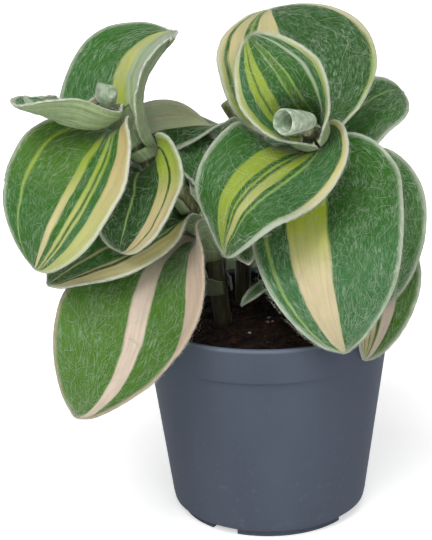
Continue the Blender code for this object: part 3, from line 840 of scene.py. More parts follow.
def blade_material(name, stripes, settings):
    """Fresh leaf: soft, slightly waxy green with long streaks, paler where the down is thick."""
    mat, node = new_material(f"striped_leaf_{name}")
    uv = node("UVMap", uv_map="stripes")
    place = node("TexCoord").outputs["Object"]
    # The edges of the bands follow the veins and wander by a fraction of a millimetre.
    wander_width = 0.012
    streaks = node("Mapping", {"Vector": uv, "Scale": (90.0, 5.0, 1.0)})
    streak = node("TexNoise", {"Vector": streaks, "Scale": 1.0, "Detail": 3.0})
    wander = node("TexNoise", {"Vector": place, "Scale": 200.0, "Detail": 2.0})
    parts = node("SeparateXYZ", [uv]).outputs
    shift = node("Math", [streak, wander_width, parts["X"]], operation="MULTIPLY_ADD")
    shift = node("Math", [wander, wander_width, shift], operation="MULTIPLY_ADD")
    shift = node("Math", [shift, wander_width], operation="SUBTRACT")
    near = node("ValToRGB", {"Fac": shift})
    set_ramp(near, *ramp_stops(stripes, settings, 0))
    far = node("ValToRGB", {"Fac": shift})
    set_ramp(far, *ramp_stops(stripes, settings, 1))
    # The foot of a stripe is lime, and it fades to cream past the middle of the blade.
    outward = node("MapRange", [parts["Y"], 0.35, 0.75], interpolation_type="SMOOTHSTEP")
    tint = node("Mix", {"Factor": outward, "A": near, "B": far}, data_type="RGBA")
    # Long veins about 0.8 mm apart darken and lighten the colour along the blade.
    veins = node("ValToRGB", {"Fac": streak})
    set_ramp(veins, (0.3, [0.88] * 3), (0.5, [1.0] * 3), (0.7, [1.08] * 3))
    tint = node("Mix", {"Factor": 1.0, "A": tint, "B": veins}, data_type="RGBA", blend_type="MULTIPLY")
    # A blade is a fresher, yellower green near its foot.
    fresh = node("MapRange", [parts["Y"], 0.1, 0.6, stripes.fresh, 0.0])
    yellow = Color((1.0, 1.0, 0.6))
    tint = node(
        "Mix", {"Factor": fresh, "A": tint, "B": yellow}, data_type="RGBA", blend_type="MULTIPLY"
    )
    # Matted down: flecks about 0.4 mm wide that are drawn out along the veins, thicker in patches.
    drawn = node("Mapping", {"Vector": uv, "Scale": (120.0, 26.0, 1.0)})
    flecks = node(
        "TexNoise", {"Vector": drawn, "Scale": 1.0, "Detail": 4.0, "Roughness": 0.7, "Distortion": 0.6}
    )
    patches = node("MapRange", [wander, 0.35, 0.65, 0.25, 0.85])
    matted = node("MapRange", [flecks, 0.48, 0.72])
    film = node("Math", [matted, patches], operation="MULTIPLY")
    # The down is thicker over the outer 2 mm; the map holds centimetres from the edge.
    edge = node("SeparateXYZ", [node("UVMap", uv_map="edge")]).outputs["X"]
    thick, thin = 1.5 * stripes.wool, 0.85 * stripes.wool
    outer = node("MapRange", [edge, 0.0, 0.22, thick, thin])
    film = node("Math", [film, outer], operation="MULTIPLY", use_clamp=True)
    tint = node(
        "Mix", {"Factor": film, "A": tint, "B": settings.fleck}, data_type="RGBA", blend_type="LIGHTEN"
    )
    # Wool lies along the outermost millimetre and frays inwards along the veins.
    rough = node("Math", [flecks, 0.3, edge], operation="MULTIPLY_ADD")
    woolly = node("MapRange", [rough, 0.15, 0.26, 0.8, 0.0])
    wool = getattr(settings, stripes.edge)
    tint = node("Mix", {"Factor": woolly, "A": tint, "B": wool}, data_type="RGBA")
    # Painted shade darkens the foot of the blade where it sits low in the plant.
    tint = paint_foot_shade(node, tint, place, parts["Y"], settings)
    # Painted light: the whole blade is made lighter or darker, partly for its own tone and partly for the
    # light that reaches it.
    shade = Color([stripes.shade] * 3)
    tint = node("Mix", {"Factor": 1.0, "A": tint, "B": shade}, data_type="RGBA", blend_type="MULTIPLY")
    # The skin is pitted every 0.4 mm, and the veins stand up a little.
    fine = node("TexNoise", {"Vector": place, "Scale": 2500.0, "Detail": 2.0})
    height = node("Math", [fine, 0.3, streak], operation="MULTIPLY_ADD")
    bump = node("Bump", {"Strength": 0.5, "Distance": 0.00012, "Height": height})
    shader = node(
        "BsdfPrincipled",
        {"Base Color": tint, "Roughness": 0.6, "IOR": 1.42, "Specular IOR Level": 0.2,
         "Sheen Weight": 0.05, "Sheen Roughness": 0.4, "Normal": bump},
    )
    node("OutputMaterial", {"Surface": shader})
    return mat


def underside_material(settings):
    """Underside of a leaf: matt pale green with raised parallel veins."""
    mat, node = new_material("leaf_underside")
    uv = node("UVMap", uv_map="stripes")
    place = node("TexCoord").outputs["Object"]
    # The veins are about 1 mm apart, and the pale matted hairs are in tufts 1 mm wide.
    streaks = node("Mapping", {"Vector": uv, "Scale": (70.0, 3.0, 1.0)})
    streak = node("TexNoise", {"Vector": streaks, "Scale": 1.0, "Detail": 2.0})
    tone = node("ValToRGB", {"Fac": streak})
    set_ramp(tone, (0.32, settings.back * 0.7), (0.5, settings.back), (0.68, settings.back * 1.35))
    tufts = node("TexNoise", {"Vector": place, "Scale": 1100.0, "Detail": 4.0})
    matted = node("MapRange", [tufts, 0.4, 0.7, 0.0, 0.55])
    mixed = node("Mix", {"Factor": matted, "A": tone, "B": settings.silver}, data_type="RGBA")
    run = node("SeparateXYZ", [uv]).outputs["Y"]
    # Painted shade darkens the foot of the underside where it sits low in the plant.
    foot_shaded = paint_foot_shade(node, mixed, place, run, settings)
    bump = node("Bump", {"Strength": 0.6, "Distance": 0.0002, "Height": streak})
    shader = node(
        "BsdfPrincipled",
        {"Base Color": foot_shaded, "Roughness": 0.7, "IOR": 1.42, "Specular IOR Level": 0.2,
         "Sheen Weight": 0.12, "Normal": bump},
    )
    node("OutputMaterial", {"Surface": shader})
    return mat


def margin_material(tint, settings):
    """Margin of a leaf: a thin edge under matted wool, white or pinkish, in tufts 1 mm wide."""
    mat, node = new_material(f"woolly_leaf_edge_{tint}")
    wool = getattr(settings, tint)
    place = node("TexCoord").outputs["Object"]
    tufts = node("TexNoise", {"Vector": place, "Scale": 900.0, "Detail": 3.0})
    tone = node("ValToRGB", {"Fac": tufts})
    set_ramp(tone, (0.35, wool * 0.6), (0.6, wool))
    run = node("SeparateXYZ", [node("UVMap", uv_map="stripes")]).outputs["Y"]
    # Painted shade darkens the foot of the margin where it sits low in the plant.
    foot_shaded = paint_foot_shade(node, tone, place, run, settings)
    bump = node("Bump", {"Strength": 0.6, "Distance": 0.0002, "Height": tufts})
    shader = node(
        "BsdfPrincipled", {"Base Color": foot_shaded, "Roughness": 0.85, "Sheen Weight": 0.3, "Normal": bump}
    )
    node("OutputMaterial", {"Surface": shader})
    return mat


def plastic_material(settings):
    """Polypropylene, injection moulded: satin blue-grey with faint flow marks and a fine grain."""
    mat, node = new_material("moulded_polypropylene")
    place = node("TexCoord").outputs["Object"]
    # Flow marks run up the wall about 10 mm apart.
    tall = node("Mapping", {"Vector": place, "Scale": (1.0, 1.0, 0.25)})
    flow = node("TexNoise", {"Vector": tall, "Scale": 95.0, "Detail": 3.0})
    tone = node("ValToRGB", {"Fac": flow})
    set_ramp(tone, (0.3, settings.plastic * 0.93), (0.7, settings.plastic * 1.07))
    # Dried splashes: a thin film of specks 0.5 to 2 mm wide, mostly low on the wall.
    specks = node("TexNoise", {"Vector": place, "Scale": 800.0, "Detail": 4.0})
    height = node("SeparateXYZ", [place]).outputs["Z"]
    low = node("MapRange", [height, 0.0, 0.03, 0.3, 0.08])
    dots = node("MapRange", [specks, 0.6, 0.72])
    film = node("Math", [dots, low], operation="MULTIPLY")
    base = node("Mix", {"Factor": film, "A": tone, "B": settings.dust}, data_type="RGBA")
    # Painted shade: the wall inside the lip is darkened nearly black, as the leaves shade it.
    level = node("Math", [height, (POT_HEIGHT - 6) * MM], operation="GREATER_THAN")
    flat = node("VectorMath", [place, (1.0, 1.0, 0.0)], operation="MULTIPLY")
    radius = node("VectorMath", [flat], operation="LENGTH")
    inner = (RIM_RADIUS - LIP) * MM
    inside = node("MapRange", [radius, inner - 0.1 * MM, inner + 0.2 * MM, 0.9, 0.0])
    inner_shade = node("Math", [inside, level], operation="MULTIPLY")
    base = node("Mix", {"Factor": inner_shade, "A": base, "B": settings.inner_shade}, data_type="RGBA")
    # Painted highlight: the top of the lip is paler, as the light catches it.
    low, high = (POT_HEIGHT - 0.7) * MM, (POT_HEIGHT - 0.3) * MM
    lip_highlight = node("MapRange", [height, low, high, 0.0, 0.8])
    pale = settings.plastic * 2.0
    base = node("Mix", {"Factor": lip_highlight, "A": base, "B": pale}, data_type="RGBA")
    # The mould's grain is about 0.5 mm wide.
    grain = node("TexNoise", {"Vector": place, "Scale": 2200.0, "Detail": 2.0})
    bump = node("Bump", {"Strength": 0.25, "Distance": 0.00006, "Height": grain})
    gloss = node("MapRange", [flow, 0.3, 0.7, 0.56, 0.64])
    shader = node(
        "BsdfPrincipled",
        {"Base Color": base, "Roughness": gloss, "IOR": 1.49, "Specular IOR Level": 0.05,
         "Normal": bump},
    )
    node("OutputMaterial", {"Surface": shader})
    return mat


def peat_material(settings):
    """Peat and composted bark: nearly black where it is damp, with dry brown bits 1 to 2 mm wide."""
    mat, node = new_material("damp_peat_mix")
    place = node("TexCoord").outputs["Object"]
    bits = node("TexVoronoi", {"Vector": place, "Scale": 700.0}).outputs["Color"]
    lumps = node("TexNoise", {"Vector": place, "Scale": 500.0, "Detail": 5.0})
    tone = node("ValToRGB", {"Fac": lumps})
    set_ramp(tone, (0.35, settings.peat * 0.4), (0.52, settings.peat), (0.72, settings.bark))
    mixed = node("Mix", {"Factor": 0.25, "A": tone, "B": bits}, data_type="RGBA", blend_type="MULTIPLY")
    bump = node("Bump", {"Strength": 0.9, "Distance": 0.0006, "Height": lumps})
    shader = node(
        "BsdfPrincipled",
        {"Base Color": mixed, "Roughness": 0.9, "Specular IOR Level": 0.25, "Normal": bump},
    )
    node("OutputMaterial", {"Surface": shader})
    return mat


def perlite_material(settings):
    """Perlite: expanded volcanic glass, chalky white with pits 0.7 mm wide that hold peat."""
    mat, node = new_material("stained_perlite")
    place = node("TexCoord").outputs["Object"]
    pits = node("TexNoise", {"Vector": place, "Scale": 1500.0, "Detail": 3.0})
    tone = node("ValToRGB", {"Fac": pits})
    set_ramp(tone, (0.35, settings.grain * 0.45), (0.6, settings.grain))
    bump = node("Bump", {"Strength": 0.8, "Distance": 0.0002, "Height": pits})
    shader = node("BsdfPrincipled", {"Base Color": tone, "Roughness": 0.8, "Normal": bump})
    node("OutputMaterial", {"Surface": shader})
    return mat


def stem_material(settings):
    """Succulent stem: grey green, ribbed lengthwise, and near-black brown with painted shade near the soil.
    """
    mat, node = new_material("succulent_stem")
    place = node("TexCoord").outputs["Object"]
    # The ribs are about 0.7 mm apart.
    tall = node("Mapping", {"Vector": place, "Scale": (1.0, 1.0, 0.15)})
    ribs = node("TexNoise", {"Vector": tall, "Scale": 1500.0, "Detail": 2.0})
    tone = node("ValToRGB", {"Fac": ribs})
    set_ramp(tone, (0.3, linear("#4c5730")), (0.55, linear("#777b52")), (0.75, linear("#a09a86")))
    # Painted shade: below 60 to 80 mm the stem turns near-black brown, as the leaves shade it.
    height = node("SeparateXYZ", [place]).outputs["Z"]
    low = node("MapRange", [height, 0.06, 0.08, 0.9, 0.0])
    foot_shaded = node("Mix", {"Factor": low, "A": tone, "B": settings.dry}, data_type="RGBA")
    bump = node("Bump", {"Strength": 0.5, "Distance": 0.0002, "Height": ribs})
    shader = node(
        "BsdfPrincipled",
        {"Base Color": foot_shaded, "Roughness": 0.5, "IOR": 1.42, "Specular IOR Level": 0.15,
         "Sheen Weight": 0.05, "Normal": bump},
    )
    node("OutputMaterial", {"Surface": shader})
    return mat


def bud_material():
    """Young rolled leaf: grey-green under close white wool in tufts 1 to 2 mm wide."""
    mat, node = new_material("woolly_young_leaf")
    place = node("TexCoord").outputs["Object"]
    wool = node("TexNoise", {"Vector": place, "Scale": 700.0, "Detail": 4.0})
    tone = node("ValToRGB", {"Fac": wool})
    set_ramp(tone, (0.35, linear("#7b9474")), (0.55, linear("#aab9a0")), (0.7, linear("#d6dccb")))
    bump = node("Bump", {"Strength": 0.6, "Distance": 0.0002, "Height": wool})
    shader = node(
        "BsdfPrincipled", {"Base Color": tone, "Roughness": 0.8, "Sheen Weight": 0.3, "Normal": bump}
    )
    node("OutputMaterial", {"Surface": shader})
    return mat


def turned(profile, steps):
    """Closed body of revolution from (radius, height) points that start and end on the axis."""
    bm = bmesh.new()
    verts = [bm.verts.new((r, 0, z)) for r, z in profile]
    edges = [bm.edges.new(pair) for pair in zip(verts, verts[1:])]
    turn = {"axis": (0, 0, 1), "cent": (0, 0, 0), "angle": 2 * math.pi, "steps": steps}
    bmesh.ops.spin(bm, geom=verts + edges, use_merge=True, **turn)
    bmesh.ops.remove_doubles(bm, verts=bm.verts, dist=1e-4)
    bmesh.ops.recalc_face_normals(bm, faces=bm.faces)
    return bm


class TRADESCANTIA_OT_pot(bpy.types.Operator):
    """Turn the moulded nursery pot, with its band, lip, foot ring, notches and drain holes."""

    bl_idname = "tradescantia.pot"
    bl_label = "Make Pot"
    bl_options = {"REGISTER", "UNDO"}

    def execute(self, context):
        settings = context.scene.tradescantia_pot
        band_low = POT_HEIGHT - BAND_HEIGHT
        wall_top = LOW_RADIUS + SIDE_SLOPE * (band_low - LOW_LEVEL)
        inner_low = LOW_RADIUS - WALL
        floor = FOOT_HEIGHT + WALL
        profile = (
            (0, BOSS_LEVEL),
            (BOSS_RADIUS, BOSS_LEVEL),
            (BOSS_RADIUS, FOOT_HEIGHT),
            (FOOT_RADIUS - FOOT_WALL, FOOT_HEIGHT),
            (FOOT_RADIUS - FOOT_WALL, 0),
            (FOOT_RADIUS, 0),
            (FOOT_RADIUS, FOOT_HEIGHT - 0.5),
            (FOOT_RADIUS + 1.2, FOOT_HEIGHT - 0.2),
            (FOOT_RADIUS + 1.9, FOOT_HEIGHT + 0.4),
            (LOW_RADIUS, LOW_LEVEL + 0.6),
            (wall_top, band_low - 0.3),
            (wall_top + BAND_STEP, band_low + 0.3),
            (RIM_RADIUS, POT_HEIGHT - 0.6),
            (RIM_RADIUS - 0.5, POT_HEIGHT),
            (RIM_RADIUS - LIP + 0.4, POT_HEIGHT),
            (RIM_RADIUS - LIP, POT_HEIGHT - 0.5),
            (wall_top - WALL + 0.2, band_low),
            (inner_low, floor + 1.2),
            (inner_low - 1.2, floor),
            (0, floor),
        )
        pot = loose_object("pot_blank", mesh_from(turned(profile, settings.steps), "pot_blank"))
        cutters = [self.notch(azimuth) for azimuth in NOTCH_AZIMUTHS]
        cutters += [self.drain(360 * k / DRAIN_COUNT) for k in range(DRAIN_COUNT)]
        for cutter in cutters:
            cut = pot.modifiers.new(cutter.name, "BOOLEAN")
            cut.operation = "DIFFERENCE"
            cut.solver = "EXACT"
            cut.object = cutter
        mesh = baked(pot)
        for cutter in cutters:
            bpy.data.objects.remove(cutter)
        pot = add_piece("pot_moulding", mesh, [plastic_material(settings)], ["pot"])
        mesh.set_sharp_from_angle(angle=math.radians(SHADED_EDGE))
        rounding = pot.modifiers.new("rounding", "BEVEL")
        rounding.width = settings.edge
        rounding.segments = 3
        rounding.limit_method = "ANGLE"
        rounding.angle_limit = math.radians(ROUNDED_EDGE)
        return {"FINISHED"}

    def notch(self, azimuth):
        """Cutter for one gap in the foot ring."""
        bm = bmesh.new()
        bmesh.ops.create_cube(bm, size=1)
        bmesh.ops.scale(bm, vec=(2 * FOOT_WALL + 2, NOTCH_WIDTH, 2 * (FOOT_HEIGHT - 0.6)), verts=bm.verts)
        bmesh.ops.translate(bm, vec=(FOOT_RADIUS, 0, 0), verts=bm.verts)
        turn = Matrix.Rotation(math.radians(azimuth), 3, "Z")
        bmesh.ops.rotate(bm, cent=(0, 0, 0), matrix=turn, verts=bm.verts)
        return loose_object("notch", mesh_from(bm, "notch"))

    def drain(self, azimuth):
        """Cutter for one drain hole."""
        bm = bmesh.new()
        radii = {"radius1": DRAIN_RADIUS, "radius2": DRAIN_RADIUS}
        bmesh.ops.create_cone(bm, cap_ends=True, segments=DRAIN_SIDES, depth=DRAIN_CUT, **radii)
        spot = Matrix.Rotation(math.radians(azimuth), 3, "Z") @ Vector((DRAIN_CIRCLE, 0, FOOT_HEIGHT))
        bmesh.ops.translate(bm, vec=spot, verts=bm.verts)
        return loose_object("drain", mesh_from(bm, "drain"))


def soil_height(x, y, relief):
    """Height of the soil's surface over a point, lumps included."""
    r = math.hypot(x, y)
    base = SOIL_CROWN + (SOIL_EDGE - SOIL_CROWN) * (r / (RIM_RADIUS - LIP)) ** 2
    coarse = noise.noise(Vector((x * 0.22, y * 0.22, 3.0)))
    fine = noise.fractal(Vector((x * 0.8, y * 0.8, 9.0)), 1.0, 2.0, 3)
    return base + relief * (0.5 * coarse + 0.45 * fine)


class TRADESCANTIA_OT_soil(bpy.types.Operator):
    """Fill the pot with lumpy peat mix, and strew crumbs, fibres and mineral grains on it."""

    bl_idname = "tradescantia.soil"
    bl_label = "Make Soil"
    bl_options = {"REGISTER", "UNDO"}

    def execute(self, context):
        settings = context.scene.tradescantia_soil
        relief = settings.relief / MM
        floor = FOOT_HEIGHT + WALL + SOIL_LIFT
        low = LOW_RADIUS - WALL - SOIL_GAP
        edge = low + SIDE_SLOPE * (SOIL_EDGE - LOW_LEVEL)
        profile = [(0, floor), (low - SOIL_CHAMFER, floor), (low, floor + SOIL_CHAMFER)]
        profile.append((edge, SOIL_EDGE - 1))
        profile += [(edge * (1 - k / SOIL_RINGS), SOIL_CROWN) for k in range(SOIL_RINGS + 1)]
        bm = turned(profile, SOIL_STEPS)
        for vert in bm.verts:
            if vert.co.z > SOIL_EDGE - 0.5:
                vert.co.z = soil_height(vert.co.x, vert.co.y, relief)
        peat = peat_material(settings)
        add_piece("potting_soil", mesh_from(bm, "potting_soil"), [peat], ["soil"])
        rng = random.Random(SOIL_SEED)
        crumbs = self.grains(rng, settings.crumbs, relief, edge, CRUMB_SIZES)
        add_piece("soil_crumbs", mesh_from(crumbs, "soil_crumbs"), [peat])
        grains = self.grains(rng, settings.perlite, relief, edge, PERLITE_SIZES)
        mesh = mesh_from(grains, "perlite_grains")
        add_piece("perlite_grains", mesh, [perlite_material(settings)])
        fibres = []
        for _ in range(settings.fibres):
            spot = self.spot(rng, edge - 2)
            turn = rng.uniform(0, 2 * math.pi)
            bend = rng.uniform(-0.6, 0.6)
            fibre = []
            for k in range(FIBRE_POINTS):
                spot = spot + Vector((math.cos(turn), math.sin(turn))) * rng.uniform(0.4, 1.0)
                turn += bend
                rise = 0.15 + 0.5 * math.sin(math.pi * k / (FIBRE_POINTS - 1))
                fibre.append((spot.x, spot.y, soil_height(spot.x, spot.y, relief) + rise))
            fibres.append(fibre)
        mesh = strands_mesh("peat_fibres", fibres, FIBRE_THICKNESS * MM)
        add_piece("peat_fibres", mesh, [peat])
        return {"FINISHED"}

    def spot(self, rng, edge):
        """Random place on a disc."""
        radius = edge * math.sqrt(rng.random())
        turn = rng.uniform(0, 2 * math.pi)
        return Vector((radius * math.cos(turn), radius * math.sin(turn)))

    def grains(self, rng, count, relief, edge, sizes):
        """Angular lumps that lie half sunk in the surface."""
        bm = bmesh.new()
        for _ in range(count):
            size = sizes[0] + (sizes[1] - sizes[0]) * rng.random() ** 2.5
            spot = self.spot(rng, edge - size)
            made = bmesh.ops.create_icosphere(bm, subdivisions=1, radius=size)["verts"]
            for vert in made:
                vert.co *= rng.uniform(0.75, 1.2)
            stretch = (rng.uniform(0.7, 1.5), rng.uniform(0.7, 1.2), rng.uniform(0.5, 0.9))
            bmesh.ops.scale(bm, vec=stretch, verts=made)
            turn = Matrix.Rotation(rng.uniform(0, 6.3), 3, "Z")
            turn = turn @ Matrix.Rotation(rng.uniform(-0.6, 0.6), 3, "X")
            bmesh.ops.rotate(bm, cent=(0, 0, 0), matrix=turn, verts=made)
            height = soil_height(spot.x, spot.y, relief) + size * GRAIN_RISE
            bmesh.ops.translate(bm, vec=(spot.x, spot.y, height), verts=made)
        return bm


class TRADESCANTIA_OT_stems(bpy.types.Operator):
    """Grow the three stems, thicker at the nodes."""

    bl_idname = "tradescantia.stems"
    bl_label = "Make Stems"
    bl_options = {"REGISTER", "UNDO"}

    def execute(self, context):
        mat = stem_material(context.scene.tradescantia_leaves)
        for stem in STEMS:
            path = stem_path(stem)
            nodes = [leaf.at for leaf in LEAVES if leaf.stem == stem.name]
            curve = bpy.data.curves.new(stem.name, "CURVE")
            curve.dimensions = "3D"
            curve.bevel_depth = MM
            curve.bevel_resolution = 5
            curve.use_fill_caps = True
            spline = curve.splines.new("POLY")
            spline.points.add(STEM_RINGS - 1)
            for k, point in enumerate(spline.points):
                share = k / (STEM_RINGS - 1)
                mark = path.length * share
                near = sum(math.exp(-(((mark - node) / SWELLING_REACH) ** 2)) for node in nodes)
                point.co = (*(path.at(mark)[0] * MM), 1.0)
                point.radius = stem_radius(stem, share) + SWELLING * min(near, 1)
            mesh = tube_mesh(stem.name, curve)
            add_piece(f"shoot_{stem.name}", mesh, [mat], [f"stem_{stem.name}"])
        return {"FINISHED"}


class TRADESCANTIA_OT_leaves(bpy.types.Operator):
    """Shape every leaf from its sheath to its tip and paint its stripes."""

    bl_idname = "tradescantia.leaves"
    bl_label = "Make Leaves"
    bl_options = {"REGISTER", "UNDO"}

    def execute(self, context):
        settings = context.scene.tradescantia_leaves
        stems = {stem.name: stem for stem in STEMS}
        under = underside_material(settings)
        margins = {tint: margin_material(tint, settings) for tint in ("margin", "fawn")}
        for leaf in LEAVES:
            stripes = STRIPES.get(leaf.name, PLAIN)
            upper = blade_material(leaf.name, stripes, settings)
            mesh = self.blade(Blade(leaf, stems), stripes, settings)
            mats = [upper, under, margins[stripes.edge]]
            piece = add_piece(f"blade_{leaf.name}", mesh, mats, [f"leaf_{leaf.name}"])
            wall = piece.modifiers.new("thickness", "SOLIDIFY")
            wall.thickness = settings.thickness
            wall.offset = 0
            wall.material_offset = 1
            wall.material_offset_rim = 2
        return {"FINISHED"}

    def blade(self, blade, stripes, settings):
        """Middle surface of a leaf; one UV map holds the place among the stripes, one the edge."""
        bm = bmesh.new()
        uv = bm.loops.layers.uv.new("stripes")
        edge = bm.loops.layers.uv.new("edge")
        bmesh.ops.create_grid(bm, x_segments=settings.columns, y_segments=settings.rows, size=1)
        total = blade.path.length
        for face in bm.faces:
            for loop in face.loops:
                side, run = loop.vert.co.x, (loop.vert.co.y + 1) / 2
                loop[uv].uv = ((side + stripes.lean * (run - 0.5) + 2) / 4, run)
                share = blade.share(run * total)
                inset = min(blade.half_width(share) * (1 - abs(side)), blade.length * (1 - share))
                loop[edge].uv = (inset / 10, 0.5)
        for vert in bm.verts:
            side, run = vert.co.x, (vert.co.y + 1) / 2
            vert.co = blade.point(run * total, side)
        return mesh_from(bm, blade.leaf.name)


class TRADESCANTIA_OT_buds(bpy.types.Operator):
    """Roll the two young leaves at the ends of the outer stems."""

    bl_idname = "tradescantia.buds"
    bl_label = "Make Buds"
    bl_options = {"REGISTER", "UNDO"}

    def execute(self, context):
        mat = bud_material()
        for bud in BUDS:
            foot = Vector(bud.foot)
            axis = Vector(bud.tip) - foot
            profile = self.rounded([(r, z * axis.length) for r, z in bud.profile])
            bm = turned(profile, BUD_STEPS)
            for vert in bm.verts:
                turn = math.atan2(vert.co.y, vert.co.x)
                fold = 1 + 0.08 * (turn / math.pi) + 0.03 * math.sin(turn * 2 + vert.co.z * 0.6)
                vert.co.x *= fold
                vert.co.y *= fold
            tilt = Vector((0, 0, 1)).rotation_difference(axis).to_matrix()
            bmesh.ops.rotate(bm, cent=(0, 0, 0), matrix=tilt, verts=bm.verts)
            bmesh.ops.translate(bm, vec=foot, verts=bm.verts)
            add_piece(f"rolled_{bud.name}", mesh_from(bm, bud.name), [mat], [f"bud_{bud.name}"])
        return {"FINISHED"}

    def rounded(self, profile):
        """The profile with smooth bends between its points."""
        points = curve_through([(r, 0, z) for r, z in profile], 5)
        out = [(max(p.x, 0), p.z) for p in points]
        out[0] = (0, out[0][1])
        out[-1] = (0, out[-1][1])
        return out


class TRADESCANTIA_OT_down(bpy.types.Operator):
    """Lay the cobweb of white hairs over the leaves, along their margins and on the stems."""

    bl_idname = "tradescantia.down"
    bl_label = "Make Down"
    bl_options = {"REGISTER", "UNDO"}

    def execute(self, context):
        settings = context.scene.tradescantia_down
        half = context.scene.tradescantia_leaves.thickness / MM / 2
        longest = settings.longest / MM
        mat = down_material(settings)
        stems = {stem.name: stem for stem in STEMS}
        for number, leaf in enumerate(LEAVES):
            rng = random.Random(LEAF_SEED + number)
            blade = Blade(leaf, stems)
            count = int(blade.area() * settings.density * STRIPES.get(leaf.name, PLAIN).wool)
            strands = [self.lying(blade, rng, half, 1, longest) for _ in range(count)]
            strands += [self.lying(blade, rng, half, -1, longest) for _ in range(count // UNDER_PART)]
            fringe = int(blade.length * FRINGE_DENSITY)
            strands += [self.marginal(blade, rng, half) for _ in range(fringe)]
            mesh = strands_mesh(leaf.name, strands, settings.thickness)
            add_piece(f"down_{leaf.name}", mesh, [mat])
        rods = [(stem.name, Rod.of_stem(stem), STEM_HAIRS) for stem in STEMS]
        rods += [(f"{bud.name}_bud", Rod.of_bud(bud), BUD_HAIRS) for bud in BUDS]
        for number, (name, rod, count) in enumerate(rods):
            rng = random.Random(ROD_SEED + number)
            strands = [self.wrapped(rod, rng) for _ in range(count)]
            add_piece(f"down_{name}", strands_mesh(name, strands, settings.thickness), [mat])
        return {"FINISHED"}

    def lying(self, blade, rng, half, face, longest):
        """Hair that lies over one side of a blade in a low arch."""
        share = rng.uniform(0.0, 1.0)
        side = rng.uniform(-1, 1)
        heading = rng.gauss(0, 0.4) if rng.random() < 0.5 else rng.uniform(-math.pi, math.pi)
        bend = rng.gauss(0, 0.3)
        reach = longest * (0.25 + 0.75 * rng.random())
        if rng.random() < 0.04:
            reach *= 1.8
        arch = rng.uniform(0.1, 0.6)
        step = reach / LYING_STEPS
        points = []
        for k in range(LYING_STEPS + 1):
            lift = face * (half + LYING_LIFT + arch * math.sin(math.pi * k / LYING_STEPS))
            distance = blade.sheath_length + share * blade.length
            points.append(blade.point(distance, max(min(side, OVERHANG), -OVERHANG), lift))
            share += math.cos(heading) * step / blade.length
            share = min(max(share, -0.05), 0.995)
            side += math.sin(heading) * step / max(blade.half_width(max(share, 0)), 2.0)
            heading += bend + rng.gauss(0, 0.3)
        return points

    def marginal(self, blade, rng, half):
        """Hair of the woolly margin: it curls along the edge and leans outwards a little."""
        edge = rng.choice((-1, 1))
        share = rng.uniform(0.05, 0.99)
        reach = rng.uniform(0.8, 2.8)
        lean = rng.gauss(0.3, 0.4)
        curl = rng.gauss(-0.25, 0.65)
        way = rng.choice((-1, 1, 1))
        out = rng.uniform(-0.9, 0.05)
        lift = rng.uniform(-half, half) * 1.2
        step = reach / SHORT_STEPS
        points = []
        for _ in range(SHORT_STEPS + 1):
            wide = max(blade.half_width(share), 1.5)
            distance = blade.sheath_length + share * blade.length
            points.append(blade.point(distance, edge * (1 + out / wide), lift))
            share = min(max(share + way * math.cos(lean) * step / blade.length, 0), 0.998)
            out = min(out + math.sin(lean) * step, FRINGE_REACH)
            lean += curl
            lift += rng.gauss(0, 0.08)
        return points

    def wrapped(self, rod, rng):
        """Hair that lies lengthwise on a stem or a rolled leaf and stands off at one end."""
        turn = rng.uniform(-math.pi, math.pi)
        distance = rng.uniform(rod.bare, rod.path.length)
        reach = rng.uniform(1.0, 3.5)
        lean = rng.gauss(0, 0.3)
        rise = abs(rng.gauss(0, 0.35))
        step = reach / SHORT_STEPS
        points = []
        for k in range(SHORT_STEPS + 1):
            points.append(rod.point(turn, distance, WRAPPED_LIFT + rise * (k / SHORT_STEPS) ** 2))
            distance = min(distance + math.cos(lean) * step, rod.path.length)
            turn += math.sin(lean) * step / 2
        return points


def seen_directly(node):
    """Node that is 1 where the camera, a reflection or clear plastic shows the surface, else 0."""
    path = node("LightPath").outputs
    seen = node("Math", [path["Is Camera Ray"], path["Is Glossy Ray"]], operation="MAXIMUM")
    return node("Math", [seen, path["Is Transmission Ray"]], operation="MAXIMUM")


